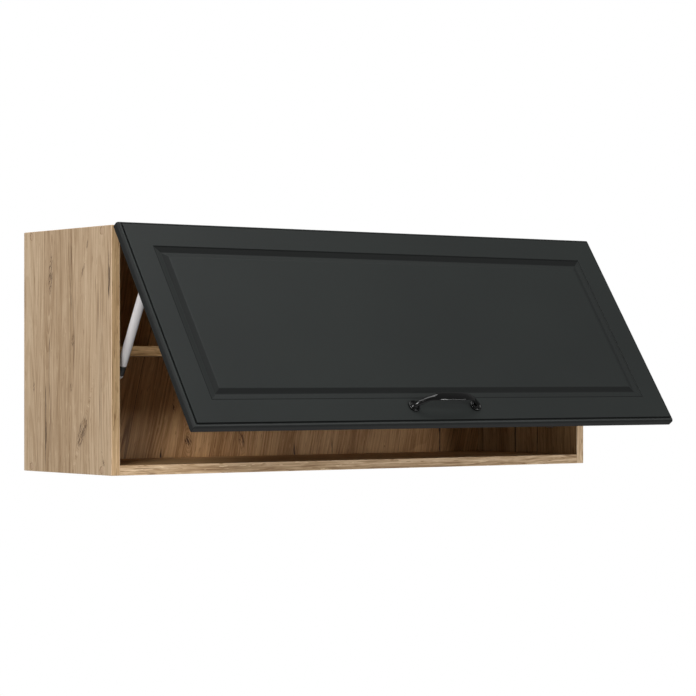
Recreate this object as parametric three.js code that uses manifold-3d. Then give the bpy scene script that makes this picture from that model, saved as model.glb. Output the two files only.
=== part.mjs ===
// Lift-up wall cabinet, 1000 x 400 x 288 mm, with one top-hung routed front.
//
// Millimetres, +Z up, +X to the right seen from the front, the front faces -Y.
// The origin is the centre of the rear face, on the wall plane: the wall is
// y = 0, the carcass front is y = -288. The front is drawn open by 35 degrees,
// held up by two gas struts, which is the rest pose of the assembly.
//
// The door and everything screwed to it is built closed, in a group whose
// origin is the hinge line, and the group is turned by the opening angle. Each
// gas strut is built along its own axis, in a group at its upper ball stud.

import * as THREE from 'three';
import { mergeVertices } from 'three/addons/utils/BufferGeometryUtils.js';
import Module from 'manifold-3d';

const wasm = await Module();
wasm.setup();

// ---------------------------------------------------------------- dimensions
const WIDTH = 1000;          // outer width of the carcass
const HEIGHT = 400;          // outer height
const DEPTH = 288;           // wall to carcass front, back panel included
const BOARD = 16;            // laminated board thickness
const BACK_T = 3;            // hardboard back panel
const BACK_REVEAL = 2;       // the back panel stops this far inside each edge
const GAP = 0.3;             // air between neighbours inside turned groups

const SHELF_T = 16;
const SHELF_RECESS = 76;     // shelf front edge behind the carcass front
const SHELF_Z = 0;           // shelf mid-plane, half way up

const DOOR_W = 996;
const DOOR_H = 396;
const DOOR_T = 16;
const DOOR_GAP = 1.5;        // between the door back and the carcass front
const DOOR_OPEN = 35;        // degrees, the rest pose

const EDGE_STRAIGHT = 8.5;   // square part of the door edge, from its back
const EDGE_ROUND = 6.5;      // width of the rounded border and the notch inside it
const FRAME_W = 50;          // flat frame, edge to groove
const GROOVE_DEEP = 61;      // edge to the deepest line of the groove
const FIELD_IN = 71;         // edge to the flat middle field
const GROOVE_D = 3.0;        // groove depth

const CUP_X = 390;           // hinges, either side of the middle
const CUP_R = 17.5;
const CUP_U = 21.5;          // cup centre below the door's top edge
const KNEE = [14, -25];      // offset of the fixed pivot from the hinge line
const CUP_PIN = [-2.2, -18]; // pin in the cup, door frame (y, z), closed

const STRUT_X = 466;         // strut plane, either side of the middle
const STRUT_OFF = 12;        // upper ball behind the door back
const STRUT_R = 101.72;      // upper ball below the hinge line, closed
const STRUT_LEAN = 29.24;    // degrees from straight down, at rest
const STRUT_LEN = 255;       // ball to ball, at rest
const TUBE_R = 7.5;
const TUBE_END = 150.2;      // tube, from the upper ball
const COLLAR_END = 167.4;
const ROD_R = 4;
const ROD_LEN = 160;
const SOCKET_R = 7;

const HANDLE_PITCH = 128;    // between the two handle screws
const HANDLE_U = 363;        // handle screws below the door's top edge

const SCREW_INSET = 30;      // connector screws from the front and rear edges

const FRONT = -DEPTH;
const TOP = HEIGHT / 2;
const AXIS_Y = FRONT - DOOR_GAP;     // hinge line
const AXIS_Z = TOP - 2;
const INNER_X = WIDTH / 2 - BOARD;   // inner face of the side panels
const rad = THREE.MathUtils.degToRad;

// ----------------------------------------------------------------- materials
const finish = (color, roughness, metalness = 0) =>
  new THREE.MeshStandardMaterial({ color, roughness, metalness });
const OAK = finish(0xb9a082, 0.6);
const OAK_EDGE = finish(0xbea88a, 0.6);
const BACK_BOARD = finish(0x9c7f60, 0.75);
const GRAPHITE = finish(0x363836, 0.6);
const BLACK_GLOSS = finish(0x0c0c0c, 0.2, 0.3);
const NICKEL = finish(0xb9b7b2, 0.35, 1.0);
const STEEL = finish(0x9d9fa1, 0.4, 1.0);
const GREY_TUBE = finish(0xb4b2b0, 0.45, 0.3);
const BLACK_PLASTIC = finish(0x151515, 0.5);
const LIGHT_PLASTIC = finish(0xd8d8d4, 0.5);
const WHITE_PLASTIC = finish(0xe6e4df, 0.5);
const CHROME = finish(0xcfd2d4, 0.12, 1.0);
const CAP_PLASTIC = finish(0xb79d7e, 0.5);

// ------------------------------------------------------------------- helpers
// A closed geometry as a solid: shared corners merged, slivers with a
// repeated corner dropped, faces turned outwards.
function solid(geometry) {
  const g = geometry.clone();
  for (const name of Object.keys(g.attributes)) {
    if (name !== 'position') g.deleteAttribute(name);
  }
  const merged = mergeVertices(g, 1e-4);
  const p = merged.attributes.position.array;
  const src = merged.index.array;
  const tri = [];
  for (let i = 0; i < src.length; i += 3) {
    const [a, b, c] = [src[i], src[i + 1], src[i + 2]];
    if (a !== b && b !== c && c !== a) tri.push(a, b, c);
  }
  let volume = 0;
  for (let i = 0; i < tri.length; i += 3) {
    const [a, b, c] = [tri[i] * 3, tri[i + 1] * 3, tri[i + 2] * 3];
    volume += p[a] * (p[b + 1] * p[c + 2] - p[b + 2] * p[c + 1])
      + p[a + 1] * (p[b + 2] * p[c] - p[b] * p[c + 2])
      + p[a + 2] * (p[b] * p[c + 1] - p[b + 1] * p[c]);
  }
  if (volume < 0) {
    for (let i = 0; i < tri.length; i += 3) [tri[i + 1], tri[i + 2]] = [tri[i + 2], tri[i + 1]];
  }
  return new wasm.Manifold(new wasm.Mesh({
    numProp: 3,
    vertProperties: new Float32Array(p),
    triVerts: new Uint32Array(tri),
  }));
}

function toGeometry(manifold) {
  const mesh = manifold.getMesh();
  const g = new THREE.BufferGeometry();
  g.setAttribute('position', new THREE.BufferAttribute(new Float32Array(mesh.vertProperties), 3));
  g.setIndex(new THREE.BufferAttribute(new Uint32Array(mesh.triVerts), 1));
  g.computeVertexNormals();
  return g;
}

const join = (...parts) => parts.reduce((a, b) => a.add(b));
const cut = (body, ...tools) => tools.reduce((a, b) => a.subtract(b), body);

function box(x0, x1, y0, y1, z0, z1) {
  const g = new THREE.BoxGeometry(x1 - x0, y1 - y0, z1 - z0);
  g.translate((x0 + x1) / 2, (y0 + y1) / 2, (z0 + z1) / 2);
  return solid(g);
}

// A round bar along X, Y or Z from a to b; c and d are its place on the other
// two axes, in X, Y, Z order.
function bar(axis, a, b, c, d, r, sides = 14, r2 = r) {
  const g = new THREE.CylinderGeometry(r2, r, Math.abs(b - a), sides);
  const mid = (a + b) / 2;
  if (axis === 'x') { g.rotateZ(-Math.PI / 2); g.translate(mid, c, d); }
  if (axis === 'y') g.translate(c, mid, d);
  if (axis === 'z') { g.rotateX(Math.PI / 2); g.translate(c, d, mid); }
  return solid(g);
}

// A turned piece: [radius, height] pairs from axis to axis, about +Y.
function turned(profile, sides = 24) {
  return solid(new THREE.LatheGeometry(profile.map(([r, h]) => new THREE.Vector2(r, h)), sides));
}

// A flat plate: outline in (y, z), thickness from x0 to x1.
function plate(outline, x0, x1) {
  const shape = new THREE.Shape(outline.map(([y, z]) => new THREE.Vector2(y, z)));
  const g = new THREE.ExtrudeGeometry(shape, { depth: x1 - x0, bevelEnabled: false });
  // extrusion runs along +Z with the outline in XY: turn it to Y, Z, X
  const p = g.attributes.position;
  for (let i = 0; i < p.count; i++) p.setXYZ(i, p.getZ(i) + x0, p.getX(i), p.getY(i));
  return solid(g);
}

// A link with round ends from point a to point b in (y, z).
function link(a, b, half, x0, x1, steps = 6) {
  const along = Math.atan2(b[1] - a[1], b[0] - a[0]);
  const outline = [];
  for (let i = 0; i <= steps; i++) {
    const t = along + Math.PI / 2 + Math.PI * i / steps;
    outline.push([a[0] + half * Math.cos(t), a[1] + half * Math.sin(t)]);
  }
  for (let i = 0; i <= steps; i++) {
    const t = along - Math.PI / 2 + Math.PI * i / steps;
    outline.push([b[0] + half * Math.cos(t), b[1] + half * Math.sin(t)]);
  }
  return plate(outline, x0, x1);
}

// Nested rings of equal point count, joined and capped into one closed body.
function loft(rings) {
  const n = rings[0].length;
  const pos = rings.flat(2);
  const idx = [];
  for (let r = 0; r < rings.length - 1; r++) {
    for (let i = 0; i < n; i++) {
      const j = (i + 1) % n;
      const [a, b, c, d] = [r * n + i, r * n + j, (r + 1) * n + j, (r + 1) * n + i];
      idx.push(a, b, c, a, c, d);
    }
  }
  const last = (rings.length - 1) * n;
  for (let i = 1; i < n - 1; i++) {
    idx.push(0, i + 1, i);
    idx.push(last, last + i, last + i + 1);
  }
  const g = new THREE.BufferGeometry();
  g.setAttribute('position', new THREE.BufferAttribute(new Float32Array(pos), 3));
  g.setIndex(idx);
  return solid(g);
}

const cabinet = new THREE.Group();
cabinet.name = 'lift_up_wall_cabinet';

function add(group, name, body, material) {
  const mesh = new THREE.Mesh(toGeometry(body), material);
  mesh.name = name;
  group.add(mesh);
  return mesh;
}

const SIDES = [['left', -1], ['right', 1]];
const xr = (s, a, b) => [Math.min(s * a, s * b), Math.max(s * a, s * b)];

// ------------------------------------------------------------------- carcass
// Side panels run the full height; the top and bottom stand between them and
// are held by two connector screws at each end, under flush cover caps.
const screwY = [FRONT + SCREW_INSET, -SCREW_INSET];
const screwZ = [TOP - BOARD / 2, -TOP + BOARD / 2];
const pinY = [FRONT + SHELF_RECESS + 34, -46];
const PIN_Z = SHELF_Z - SHELF_T / 2;      // underside of the shelf

for (const [side, s] of SIDES) {
  let panel = box(...xr(s, INNER_X, WIDTH / 2), FRONT, -BACK_T, -TOP, TOP);
  for (const y of screwY) {
    for (const z of screwZ) {
      panel = cut(panel,
        bar('x', ...xr(s, 497.7, 502), y, z, 6.3, 16),
        bar('x', ...xr(s, 494.1, 498), y, z, 5.1, 12),
        bar('x', ...xr(s, 480, 495), y, z, 3.7, 10));
    }
  }
  for (const y of pinY) panel = cut(panel, bar('x', ...xr(s, 483, 493.3), y, PIN_Z - 4.5, 2.6, 12));
  add(cabinet, `${side}_side_panel`, panel, OAK);
}

function crossPanel(z0, z1, zc) {
  let panel = box(-INNER_X, INNER_X, FRONT, -BACK_T, z0, z1);
  for (const [, s] of SIDES) {
    for (const y of screwY) panel = cut(panel, bar('x', ...xr(s, 447.6, 485), y, zc, 3.4, 10));
  }
  return panel;
}
add(cabinet, 'top_panel', crossPanel(TOP - BOARD, TOP, screwZ[0]), OAK);
add(cabinet, 'bottom_panel', crossPanel(-TOP, -TOP + BOARD, screwZ[1]), OAK_EDGE);

for (const [side, s] of SIDES) {
  [['upper', screwZ[0]], ['lower', screwZ[1]]].forEach(([level, z]) => {
    [['front', screwY[0]], ['rear', screwY[1]]].forEach(([end, y]) => {
      // head, plain shank, threaded length, point
      const head = 497.3;
      const screw = cut(join(
        bar('x', ...xr(s, 494.4, head), y, z, 4.75, 12),
        bar('x', ...xr(s, 484.2, 494.6), y, z, 3.4, 10),
        bar('x', ...xr(s, 452, 484.5), y, z, 3.0, 10),
        bar('x', ...(s > 0 ? [448, 452] : [-448, -452]), y, z, s > 0 ? 1.0 : 3.0, 10, s > 0 ? 3.0 : 1.0)),
        bar('x', ...xr(s, head - 1.8, head + 1), y, z, 2.0, 6));
      add(cabinet, `connector_screw_${side}_${level}_${end}`, screw, STEEL);
      add(cabinet, `cover_cap_${side}_${level}_${end}`,
        bar('x', ...xr(s, 498, 500), y, z, 6.0, 16), CAP_PLASTIC);
    });
  });
}

// Back panel, nailed on from behind, with two openings for the wall hooks.
const HOOK_Z = [150, 182];
let back = box(-WIDTH / 2 + BACK_REVEAL, WIDTH / 2 - BACK_REVEAL, -BACK_T, 0,
  -TOP + BACK_REVEAL, TOP - BACK_REVEAL);
for (const [, s] of SIDES) back = cut(back, box(...xr(s, 462, INNER_X - 1), -BACK_T - 1, 1, ...HOOK_Z));
add(cabinet, 'back_panel', back, BACK_BOARD);

// Shelf, set back so that the struts fold past its front edge, on four pins.
add(cabinet, 'shelf', box(-INNER_X + 1, INNER_X - 1, FRONT + SHELF_RECESS, -BACK_T - 1,
  SHELF_Z - SHELF_T / 2, SHELF_Z + SHELF_T / 2), OAK_EDGE);
for (const [side, s] of SIDES) {
  [['front', pinY[0]], ['rear', pinY[1]]].forEach(([end, y]) => {
    const pin = join(
      bar('x', ...xr(s, 474, 493), y, PIN_Z - 4.5, 2.3, 10),
      bar('x', ...xr(s, 482.4, 483.8), y, PIN_Z - 4.5, 4.2, 12),
      box(...xr(s, 472, 483.2), y - 5.5, y + 5.5, PIN_Z - 2.3, PIN_Z),
      box(...xr(s, 472, 483), y - 1.1, y + 1.1, PIN_Z - 5.5, PIN_Z - 1));
    add(cabinet, `shelf_pin_${side}_${end}`, pin, NICKEL);
  });
}

// Wall hangers: a plastic housing in each upper rear corner and its steel hook.
for (const [side, s] of SIDES) {
  let housing = box(...xr(s, 464, INNER_X), -50, -BACK_T - 0.5, 128, 182);
  housing = cut(housing, box(...xr(s, 470, 475), -44, 5, 152, 178),
    bar('y', -60, -40, s * 474, 140, 3.5, 12));
  add(cabinet, `hanger_housing_${side}`, housing, WHITE_PLASTIC);
  const hook = plate([[-42, 160], [-4, 160], [-4, 155], [-0.6, 155], [-0.6, 172], [-4, 172],
    [-4, 176], [-42, 176]], ...xr(s, 471.2, 473.8));
  add(cabinet, `hanger_hook_${side}`, hook, STEEL);
}

// ---------------------------------------------------------------------- door
const door = new THREE.Group();
door.position.set(0, AXIS_Y, AXIS_Z);
door.rotation.x = -rad(DOOR_OPEN);
cabinet.add(door);

// The front: inset from the outer edge, and height over the back face. In the
// group the back face is y = 0 and the front face is y = -DOOR_T.
const G = GROOVE_D;
const profile = [
  [0, 0], [0, EDGE_STRAIGHT],
  [0.35, EDGE_STRAIGHT + 2.2], [1.5, EDGE_STRAIGHT + 4.3], [3.3, EDGE_STRAIGHT + 5.8],
  [EDGE_ROUND - 2.2, DOOR_T - 1.5], [EDGE_ROUND - 1.4, DOOR_T - 2.8], [EDGE_ROUND + 0.1, DOOR_T - 2.8],
  [EDGE_ROUND + 0.3, DOOR_T], [FRAME_W - 0.4, DOOR_T], [FRAME_W - 0.2, DOOR_T - 1.3],
  [FRAME_W + 1.4, DOOR_T - 1.4], [FRAME_W + 8, DOOR_T - 2.4], [GROOVE_DEEP, DOOR_T - G],
  [GROOVE_DEEP + 2, DOOR_T - G + 0.1], [FIELD_IN - 1, DOOR_T - 0.35], [FIELD_IN, DOOR_T],
];
const rings = profile.map(([i, n]) => [
  [-DOOR_W / 2 + i, -n, -DOOR_H + i], [DOOR_W / 2 - i, -n, -DOOR_H + i],
  [DOOR_W / 2 - i, -n, -i], [-DOOR_W / 2 + i, -n, -i],
]);
let front = loft(rings);
for (const [, s] of SIDES) {
  front = cut(front,
    bar('y', -12.2, 1, s * CUP_X, -CUP_U, CUP_R + GAP, 28),
    bar('y', -DOOR_T - 1, 1, s * HANDLE_PITCH / 2, -HANDLE_U, 2.4, 10));
}
add(door, 'door_front', front, GRAPHITE);

// Bow handle: two stepped round feet, legs that lean inwards as they rise, and
// a grip that widens and flattens out towards the middle. One casting.
function foot(x) {
  const f = turned([[0, 0], [10.5, 0], [10.6, 1.8], [9.7, 3.2], [8.6, 3.4],
    [7.5, 2.8], [6.6, 3.8], [5.3, 5.0], [4.9, 7.2], [0, 7.4]], 18);
  return f.rotate([180, 0, 0]).translate([x, -DOOR_T - GAP, -HANDLE_U]);
}
const half = HANDLE_PITCH / 2;
const spine = [
  // x, height over the door face, half width, half thickness
  [half, 2.6, 4.7, 4.7], [half - 1.4, 5.6, 4.7, 4.6], [half - 4.4, 9.0, 4.6, 4.3],
  [half - 8.8, 13.0, 4.6, 4.0], [half - 13.4, 17.2, 4.7, 3.7], [half - 18, 20.8, 4.9, 3.4],
  [half - 23.5, 23.7, 5.4, 3.1], [half - 29.5, 25.7, 6.6, 2.8], [half - 36, 27.1, 7.6, 2.6],
  [half - 47, 28.1, 8.1, 2.5], [0, 28.5, 8.2, 2.5],
];
const run = [...spine.map(([x, h, a, b]) => [-x, h, a, b]), ...spine.slice(0, -1).reverse()];
const bowRings = run.map(([x, h, a, b], i) => {
  const p = run[Math.max(0, i - 1)];
  const q = run[Math.min(run.length - 1, i + 1)];
  let [tx, th] = [q[0] - p[0], q[1] - p[1]];
  const l = Math.hypot(tx, th);
  [tx, th] = [tx / l, th / l];
  const ring = [];
  for (let k = 0; k < 10; k++) {
    const t = 2 * Math.PI * k / 10;
    const w = a * Math.cos(t);
    const v = b * Math.sin(t);
    ring.push([x - th * v, -(DOOR_T + GAP + h + tx * v), -HANDLE_U + w]);
  }
  return ring;
});
let handle = join(loft(bowRings), foot(-half), foot(half));
for (const [, s] of SIDES) {
  handle = cut(handle, bar('y', -DOOR_T - 6.8, -DOOR_T, s * half, -HANDLE_U, 2.4, 10));
}
add(door, 'handle', handle, BLACK_GLOSS);
for (const [side, s] of SIDES) {
  const screw = cut(join(
    bar('y', GAP, 2.5, s * half, -HANDLE_U, 3.9, 14, 3.2),
    bar('y', -DOOR_T - 6.2, GAP + 0.5, s * half, -HANDLE_U, 2.0, 10)),
    box(s * half - 0.5, s * half + 0.5, 1.4, 4, -HANDLE_U - 2.4, -HANDLE_U + 2.4),
    box(s * half - 2.4, s * half + 2.4, 1.4, 4, -HANDLE_U - 0.5, -HANDLE_U + 0.5));
  add(door, `handle_screw_${side}`, screw, STEEL);
}

// -------------------------------------------------------------------- hinges
// Concealed cup hinges. The fixed pivot stands KNEE off the hinge line and the
// cup pin circles it, so the outer link turns with the door and the inner link
// only travels: the two meet on one pin at every angle.
const pivot = [AXIS_Y + KNEE[0], AXIS_Z + KNEE[1]];
const co = Math.cos(rad(DOOR_OPEN));
const si = Math.sin(rad(DOOR_OPEN));
const cupPin = [AXIS_Y + CUP_PIN[0] * co + CUP_PIN[1] * si, AXIS_Z - CUP_PIN[0] * si + CUP_PIN[1] * co];

for (const [side, s] of SIDES) {
  const cx = s * CUP_X;

  // cup with a short flange, both on the door
  const ring = (y0, y1, r) => bar('y', y0, y1, cx, -CUP_U, r, 24);
  const lip = cut(join(
    box(cx - 26, cx + 26, GAP, 1.2, -34.5, -15.5),
    cut(ring(-2, 1.2, CUP_R), box(cx - 30, cx + 30, -0.6, 3, -15.5, 5))),
    ring(-3, 3, CUP_R - 1.5));
  let cup = join(cut(ring(-11.8, -0.4, CUP_R), ring(-10.3, 1, CUP_R - 1.5)), lip,
    bar('x', cx - 16.4, cx + 16.4, CUP_PIN[0], CUP_PIN[1], 1.8, 10));
  for (const q of [-1, 1]) cup = join(cup, bar('y', 0.5, 1.4, cx + q * 21.5, -CUP_U - 4, 3.0, 12));
  add(door, `hinge_cup_${side}`, cup, NICKEL);

  // mounting plate under the top panel, and the arm that clips over it
  const under = TOP - BOARD;
  let wing = join(
    box(cx - 25, cx + 25, -257, -245, under - 2, under),
    box(cx - 5, cx + 5, -267, -233, under - 12, under));
  for (const q of [-1, 1]) wing = join(wing, bar('z', under - 3.4, under - 1.5, cx + q * 18, -251, 3.6, 12));
  add(cabinet, `hinge_plate_${side}`, wing, NICKEL);

  const cheek = [[pivot[0] - 2.6, pivot[1] - 3.4], [pivot[0] + 7, 168], [-229, 168], [-227, 170],
    [-227, 178], [-229, 180], [pivot[0] + 6, 180], [pivot[0] - 2.6, pivot[1] + 3.6],
    [pivot[0] - 4.2, pivot[1] + 1.4], [pivot[0] - 4.2, pivot[1] - 1.4]];
  const arm = join(
    plate(cheek, cx - 6.8, cx - 5.3), plate(cheek, cx + 5.3, cx + 6.8),
    box(cx - 6.8, cx + 6.8, -268, -227.4, 168, 169.6),
    bar('x', cx - 6.4, cx + 6.4, pivot[0], pivot[1], 1.8, 10));
  add(cabinet, `hinge_arm_${side}`, arm, NICKEL);

  // outer link: two cheeks on the fixed pivot, joined by the knee pin
  const outerGroup = new THREE.Group();
  outerGroup.position.set(0, pivot[0], pivot[1]);
  outerGroup.rotation.x = -rad(DOOR_OPEN);
  cabinet.add(outerGroup);
  const outer = cut(join(
    link([0, 0], CUP_PIN, 3.6, cx - 4.8, cx - 3.0), link([0, 0], CUP_PIN, 3.6, cx + 3.0, cx + 4.8),
    bar('x', cx - 4.4, cx + 4.4, CUP_PIN[0], CUP_PIN[1], 1.8, 10)),
    bar('x', cx - 6, cx + 6, 0, 0, 2.25, 12));
  add(outerGroup, `hinge_outer_link_${side}`, outer, NICKEL);

  // inner link: from the cup pin to the knee pin
  const innerGroup = new THREE.Group();
  innerGroup.position.set(0, cupPin[0], cupPin[1]);
  cabinet.add(innerGroup);
  const inner = cut(link([0, 0], KNEE, 3.6, cx - 2.6, cx + 2.6),
    bar('x', cx - 6, cx + 6, 0, 0, 2.25, 12), bar('x', cx - 6, cx + 6, KNEE[0], KNEE[1], 2.25, 12));
  add(innerGroup, `hinge_inner_link_${side}`, inner, NICKEL);
}

// ---------------------------------------------------------------- gas struts
const ballY = AXIS_Y + STRUT_OFF * co - STRUT_R * si;
const ballZ = AXIS_Z - STRUT_OFF * si - STRUT_R * co;
const lean = rad(STRUT_LEAN);
const footY = ballY + STRUT_LEN * Math.sin(lean);
const footZ = ballZ - STRUT_LEN * Math.cos(lean);

for (const [side, s] of SIDES) {
  const bx = s * STRUT_X;

  // bracket with ball stud on the door back: base, ear, neck and ball
  let bracket = join(
    box(...xr(s, 446, 478), GAP, GAP + 2, -STRUT_R - 20, -STRUT_R + 20),
    plate([[GAP, -STRUT_R - 12], [STRUT_OFF, -STRUT_R - 6.5], [STRUT_OFF + 5.5, -STRUT_R - 4],
      [STRUT_OFF + 5.5, -STRUT_R + 4], [STRUT_OFF, -STRUT_R + 6.5], [GAP, -STRUT_R + 12]],
    ...xr(s, 476, 478)),
    bar('x', ...xr(s, 467, 477), STRUT_OFF, -STRUT_R, 2.4, 10));
  const ball = new THREE.SphereGeometry(4, 12, 8);
  ball.translate(bx, STRUT_OFF, -STRUT_R);
  bracket = join(bracket, solid(ball));
  for (const q of [-1, 1]) {
    bracket = join(bracket, bar('y', GAP + 1, GAP + 3.6, s * 455, -STRUT_R + q * 13, 3.6, 12, 2.6));
  }
  add(door, `strut_door_bracket_${side}`, bracket, STEEL);

  // everything on the strut runs down its own -Z from the upper ball
  const strut = new THREE.Group();
  strut.position.set(0, ballY, ballZ);
  strut.rotation.x = lean;
  cabinet.add(strut);

  const socketX = xr(s, 459.5, 473);
  const upper = cut(join(
    bar('x', ...socketX, 0, 0, SOCKET_R, 16),
    bar('z', -15.7, -4, bx, 0, 5.2, 12)),
    bar('x', ...(s > 0 ? [461.8, 474] : [-474, -461.8]), 0, 0, 4.5, 14));
  add(strut, `strut_upper_socket_${side}`, upper, BLACK_PLASTIC);

  const tube = cut(join(
    bar('z', -TUBE_END, -17.5, bx, 0, TUBE_R, 20),
    bar('z', -17.5, -16, bx, 0, TUBE_R, 20, 6.2)),
    bar('z', -TUBE_END - 1, -19, bx, 0, TUBE_R - 1.2, 16));
  add(strut, `strut_cylinder_${side}`, tube, GREY_TUBE);

  add(strut, `strut_end_cap_${side}`, cut(
    bar('z', -COLLAR_END, -TUBE_END - GAP, bx, 0, TUBE_R - 0.4, 20, TUBE_R - 0.1),
    bar('z', -COLLAR_END - 1, -TUBE_END + 1, bx, 0, ROD_R + 0.5, 14)), BLACK_PLASTIC);

  add(strut, `strut_wiper_ring_${side}`, cut(join(
    bar('z', -COLLAR_END - 3, -COLLAR_END - GAP, bx, 0, 6.4, 16),
    bar('z', -COLLAR_END - 4.6, -COLLAR_END - 3, bx, 0, 5.2, 16, 6.4)),
    bar('z', -COLLAR_END - 6, -COLLAR_END + 1, bx, 0, ROD_R + 0.5, 14)), LIGHT_PLASTIC);

  const rodBottom = STRUT_LEN - 12;
  add(strut, `strut_rod_${side}`, bar('z', -rodBottom, -rodBottom + ROD_LEN, bx, 0, ROD_R, 14), CHROME);

  add(strut, `strut_lower_socket_${side}`, join(
    bar('x', ...socketX, 0, -STRUT_LEN, SOCKET_R, 16),
    bar('z', -STRUT_LEN + 4, -rodBottom - GAP, bx, 0, 5.2, 12)), BLACK_PLASTIC);

  // cabinet bracket: plate on the side panel and the stud, which stops short
  // of the socket that snaps onto it
  let base = join(
    box(...xr(s, INNER_X - 2, INNER_X), footY - 9, footY + 9, footZ - 22, footZ + 22),
    bar('x', ...xr(s, 473.4, INNER_X - 1), footY, footZ, 2.8, 12),
    bar('x', ...xr(s, 479.6, INNER_X - 1), footY, footZ, 5.5, 14));
  for (const q of [-1, 1]) {
    base = join(base, bar('x', ...(s > 0 ? [INNER_X - 3.8, INNER_X - 1.5] : [-INNER_X + 1.5, -INNER_X + 3.8]),
      footY, footZ + q * 15, 3.4, 12));
  }
  add(cabinet, `strut_cabinet_bracket_${side}`, base, STEEL);
}

export default cabinet;
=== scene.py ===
import math

import bmesh
import bpy
from mathutils import Matrix, Vector


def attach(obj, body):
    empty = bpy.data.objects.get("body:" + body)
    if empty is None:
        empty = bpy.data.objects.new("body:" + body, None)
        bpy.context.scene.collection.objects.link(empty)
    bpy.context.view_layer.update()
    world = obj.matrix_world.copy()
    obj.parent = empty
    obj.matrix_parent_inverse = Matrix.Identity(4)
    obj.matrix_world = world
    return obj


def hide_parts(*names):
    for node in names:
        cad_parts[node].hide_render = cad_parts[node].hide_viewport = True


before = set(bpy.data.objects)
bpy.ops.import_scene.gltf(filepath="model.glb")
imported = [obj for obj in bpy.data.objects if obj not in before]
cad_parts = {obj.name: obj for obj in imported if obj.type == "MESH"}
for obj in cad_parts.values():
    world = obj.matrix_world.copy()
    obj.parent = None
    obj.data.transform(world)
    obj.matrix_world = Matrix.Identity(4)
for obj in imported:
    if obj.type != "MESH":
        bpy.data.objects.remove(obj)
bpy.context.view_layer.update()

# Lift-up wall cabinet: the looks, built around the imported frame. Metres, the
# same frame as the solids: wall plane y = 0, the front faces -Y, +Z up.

MM = 0.001
rad = math.radians

# ------------------------------------------------------------------ the frame
WIDTH, HEIGHT, DEPTH, BOARD = 1000, 400, 288, 16
HINGE_Y, HINGE_Z = -289.5, 198.0
OPEN = rad(35)
CO, SI = math.cos(OPEN), math.sin(OPEN)
DOOR_W, DOOR_H, DOOR_T = 996, 396, 16
CUP_X, CUP_U = 390, 21.5
KNEE, CUP_PIN = (14, -25), (-2.2, -18)
PIVOT = (HINGE_Y + KNEE[0], HINGE_Z + KNEE[1])
PIN = (HINGE_Y + CUP_PIN[0] * CO + CUP_PIN[1] * SI, HINGE_Z - CUP_PIN[0] * SI + CUP_PIN[1] * CO)
STRUT_X, STRUT_OFF, STRUT_R, STRUT_LEN = 466, 12, 101.72, 255
LEAN = rad(29.24)
BALL = (HINGE_Y + STRUT_OFF * CO - STRUT_R * SI, HINGE_Z - STRUT_OFF * SI - STRUT_R * CO)
FOOT = (BALL[0] + STRUT_LEN * math.sin(LEAN), BALL[1] - STRUT_LEN * math.cos(LEAN))
HANDLE_HALF, HANDLE_U = 64, 363

# Pieces are drawn in millimetres and scaled once, when they become objects.
ROW = Matrix.Identity(4)
DOOR = Matrix.Translation((0, HINGE_Y * MM, HINGE_Z * MM)) @ Matrix.Rotation(-OPEN, 4, 'X')
STRUT = Matrix.Translation((0, BALL[0] * MM, BALL[1] * MM)) @ Matrix.Rotation(LEAN, 4, 'X')
OUTER = Matrix.Translation((0, PIVOT[0] * MM, PIVOT[1] * MM)) @ Matrix.Rotation(-OPEN, 4, 'X')
INNER = Matrix.Translation((0, PIN[0] * MM, PIN[1] * MM))
SIDES = (('left', -1), ('right', 1))


# ------------------------------------------------------------------ materials
def lin(r, g, b):
    """An 8-bit colour as linear light."""
    f = lambda v: v / 12.92 if v <= 0.04045 else ((v + 0.055) / 1.055) ** 2.4
    return (f(r / 255), f(g / 255), f(b / 255), 1.0)


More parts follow.
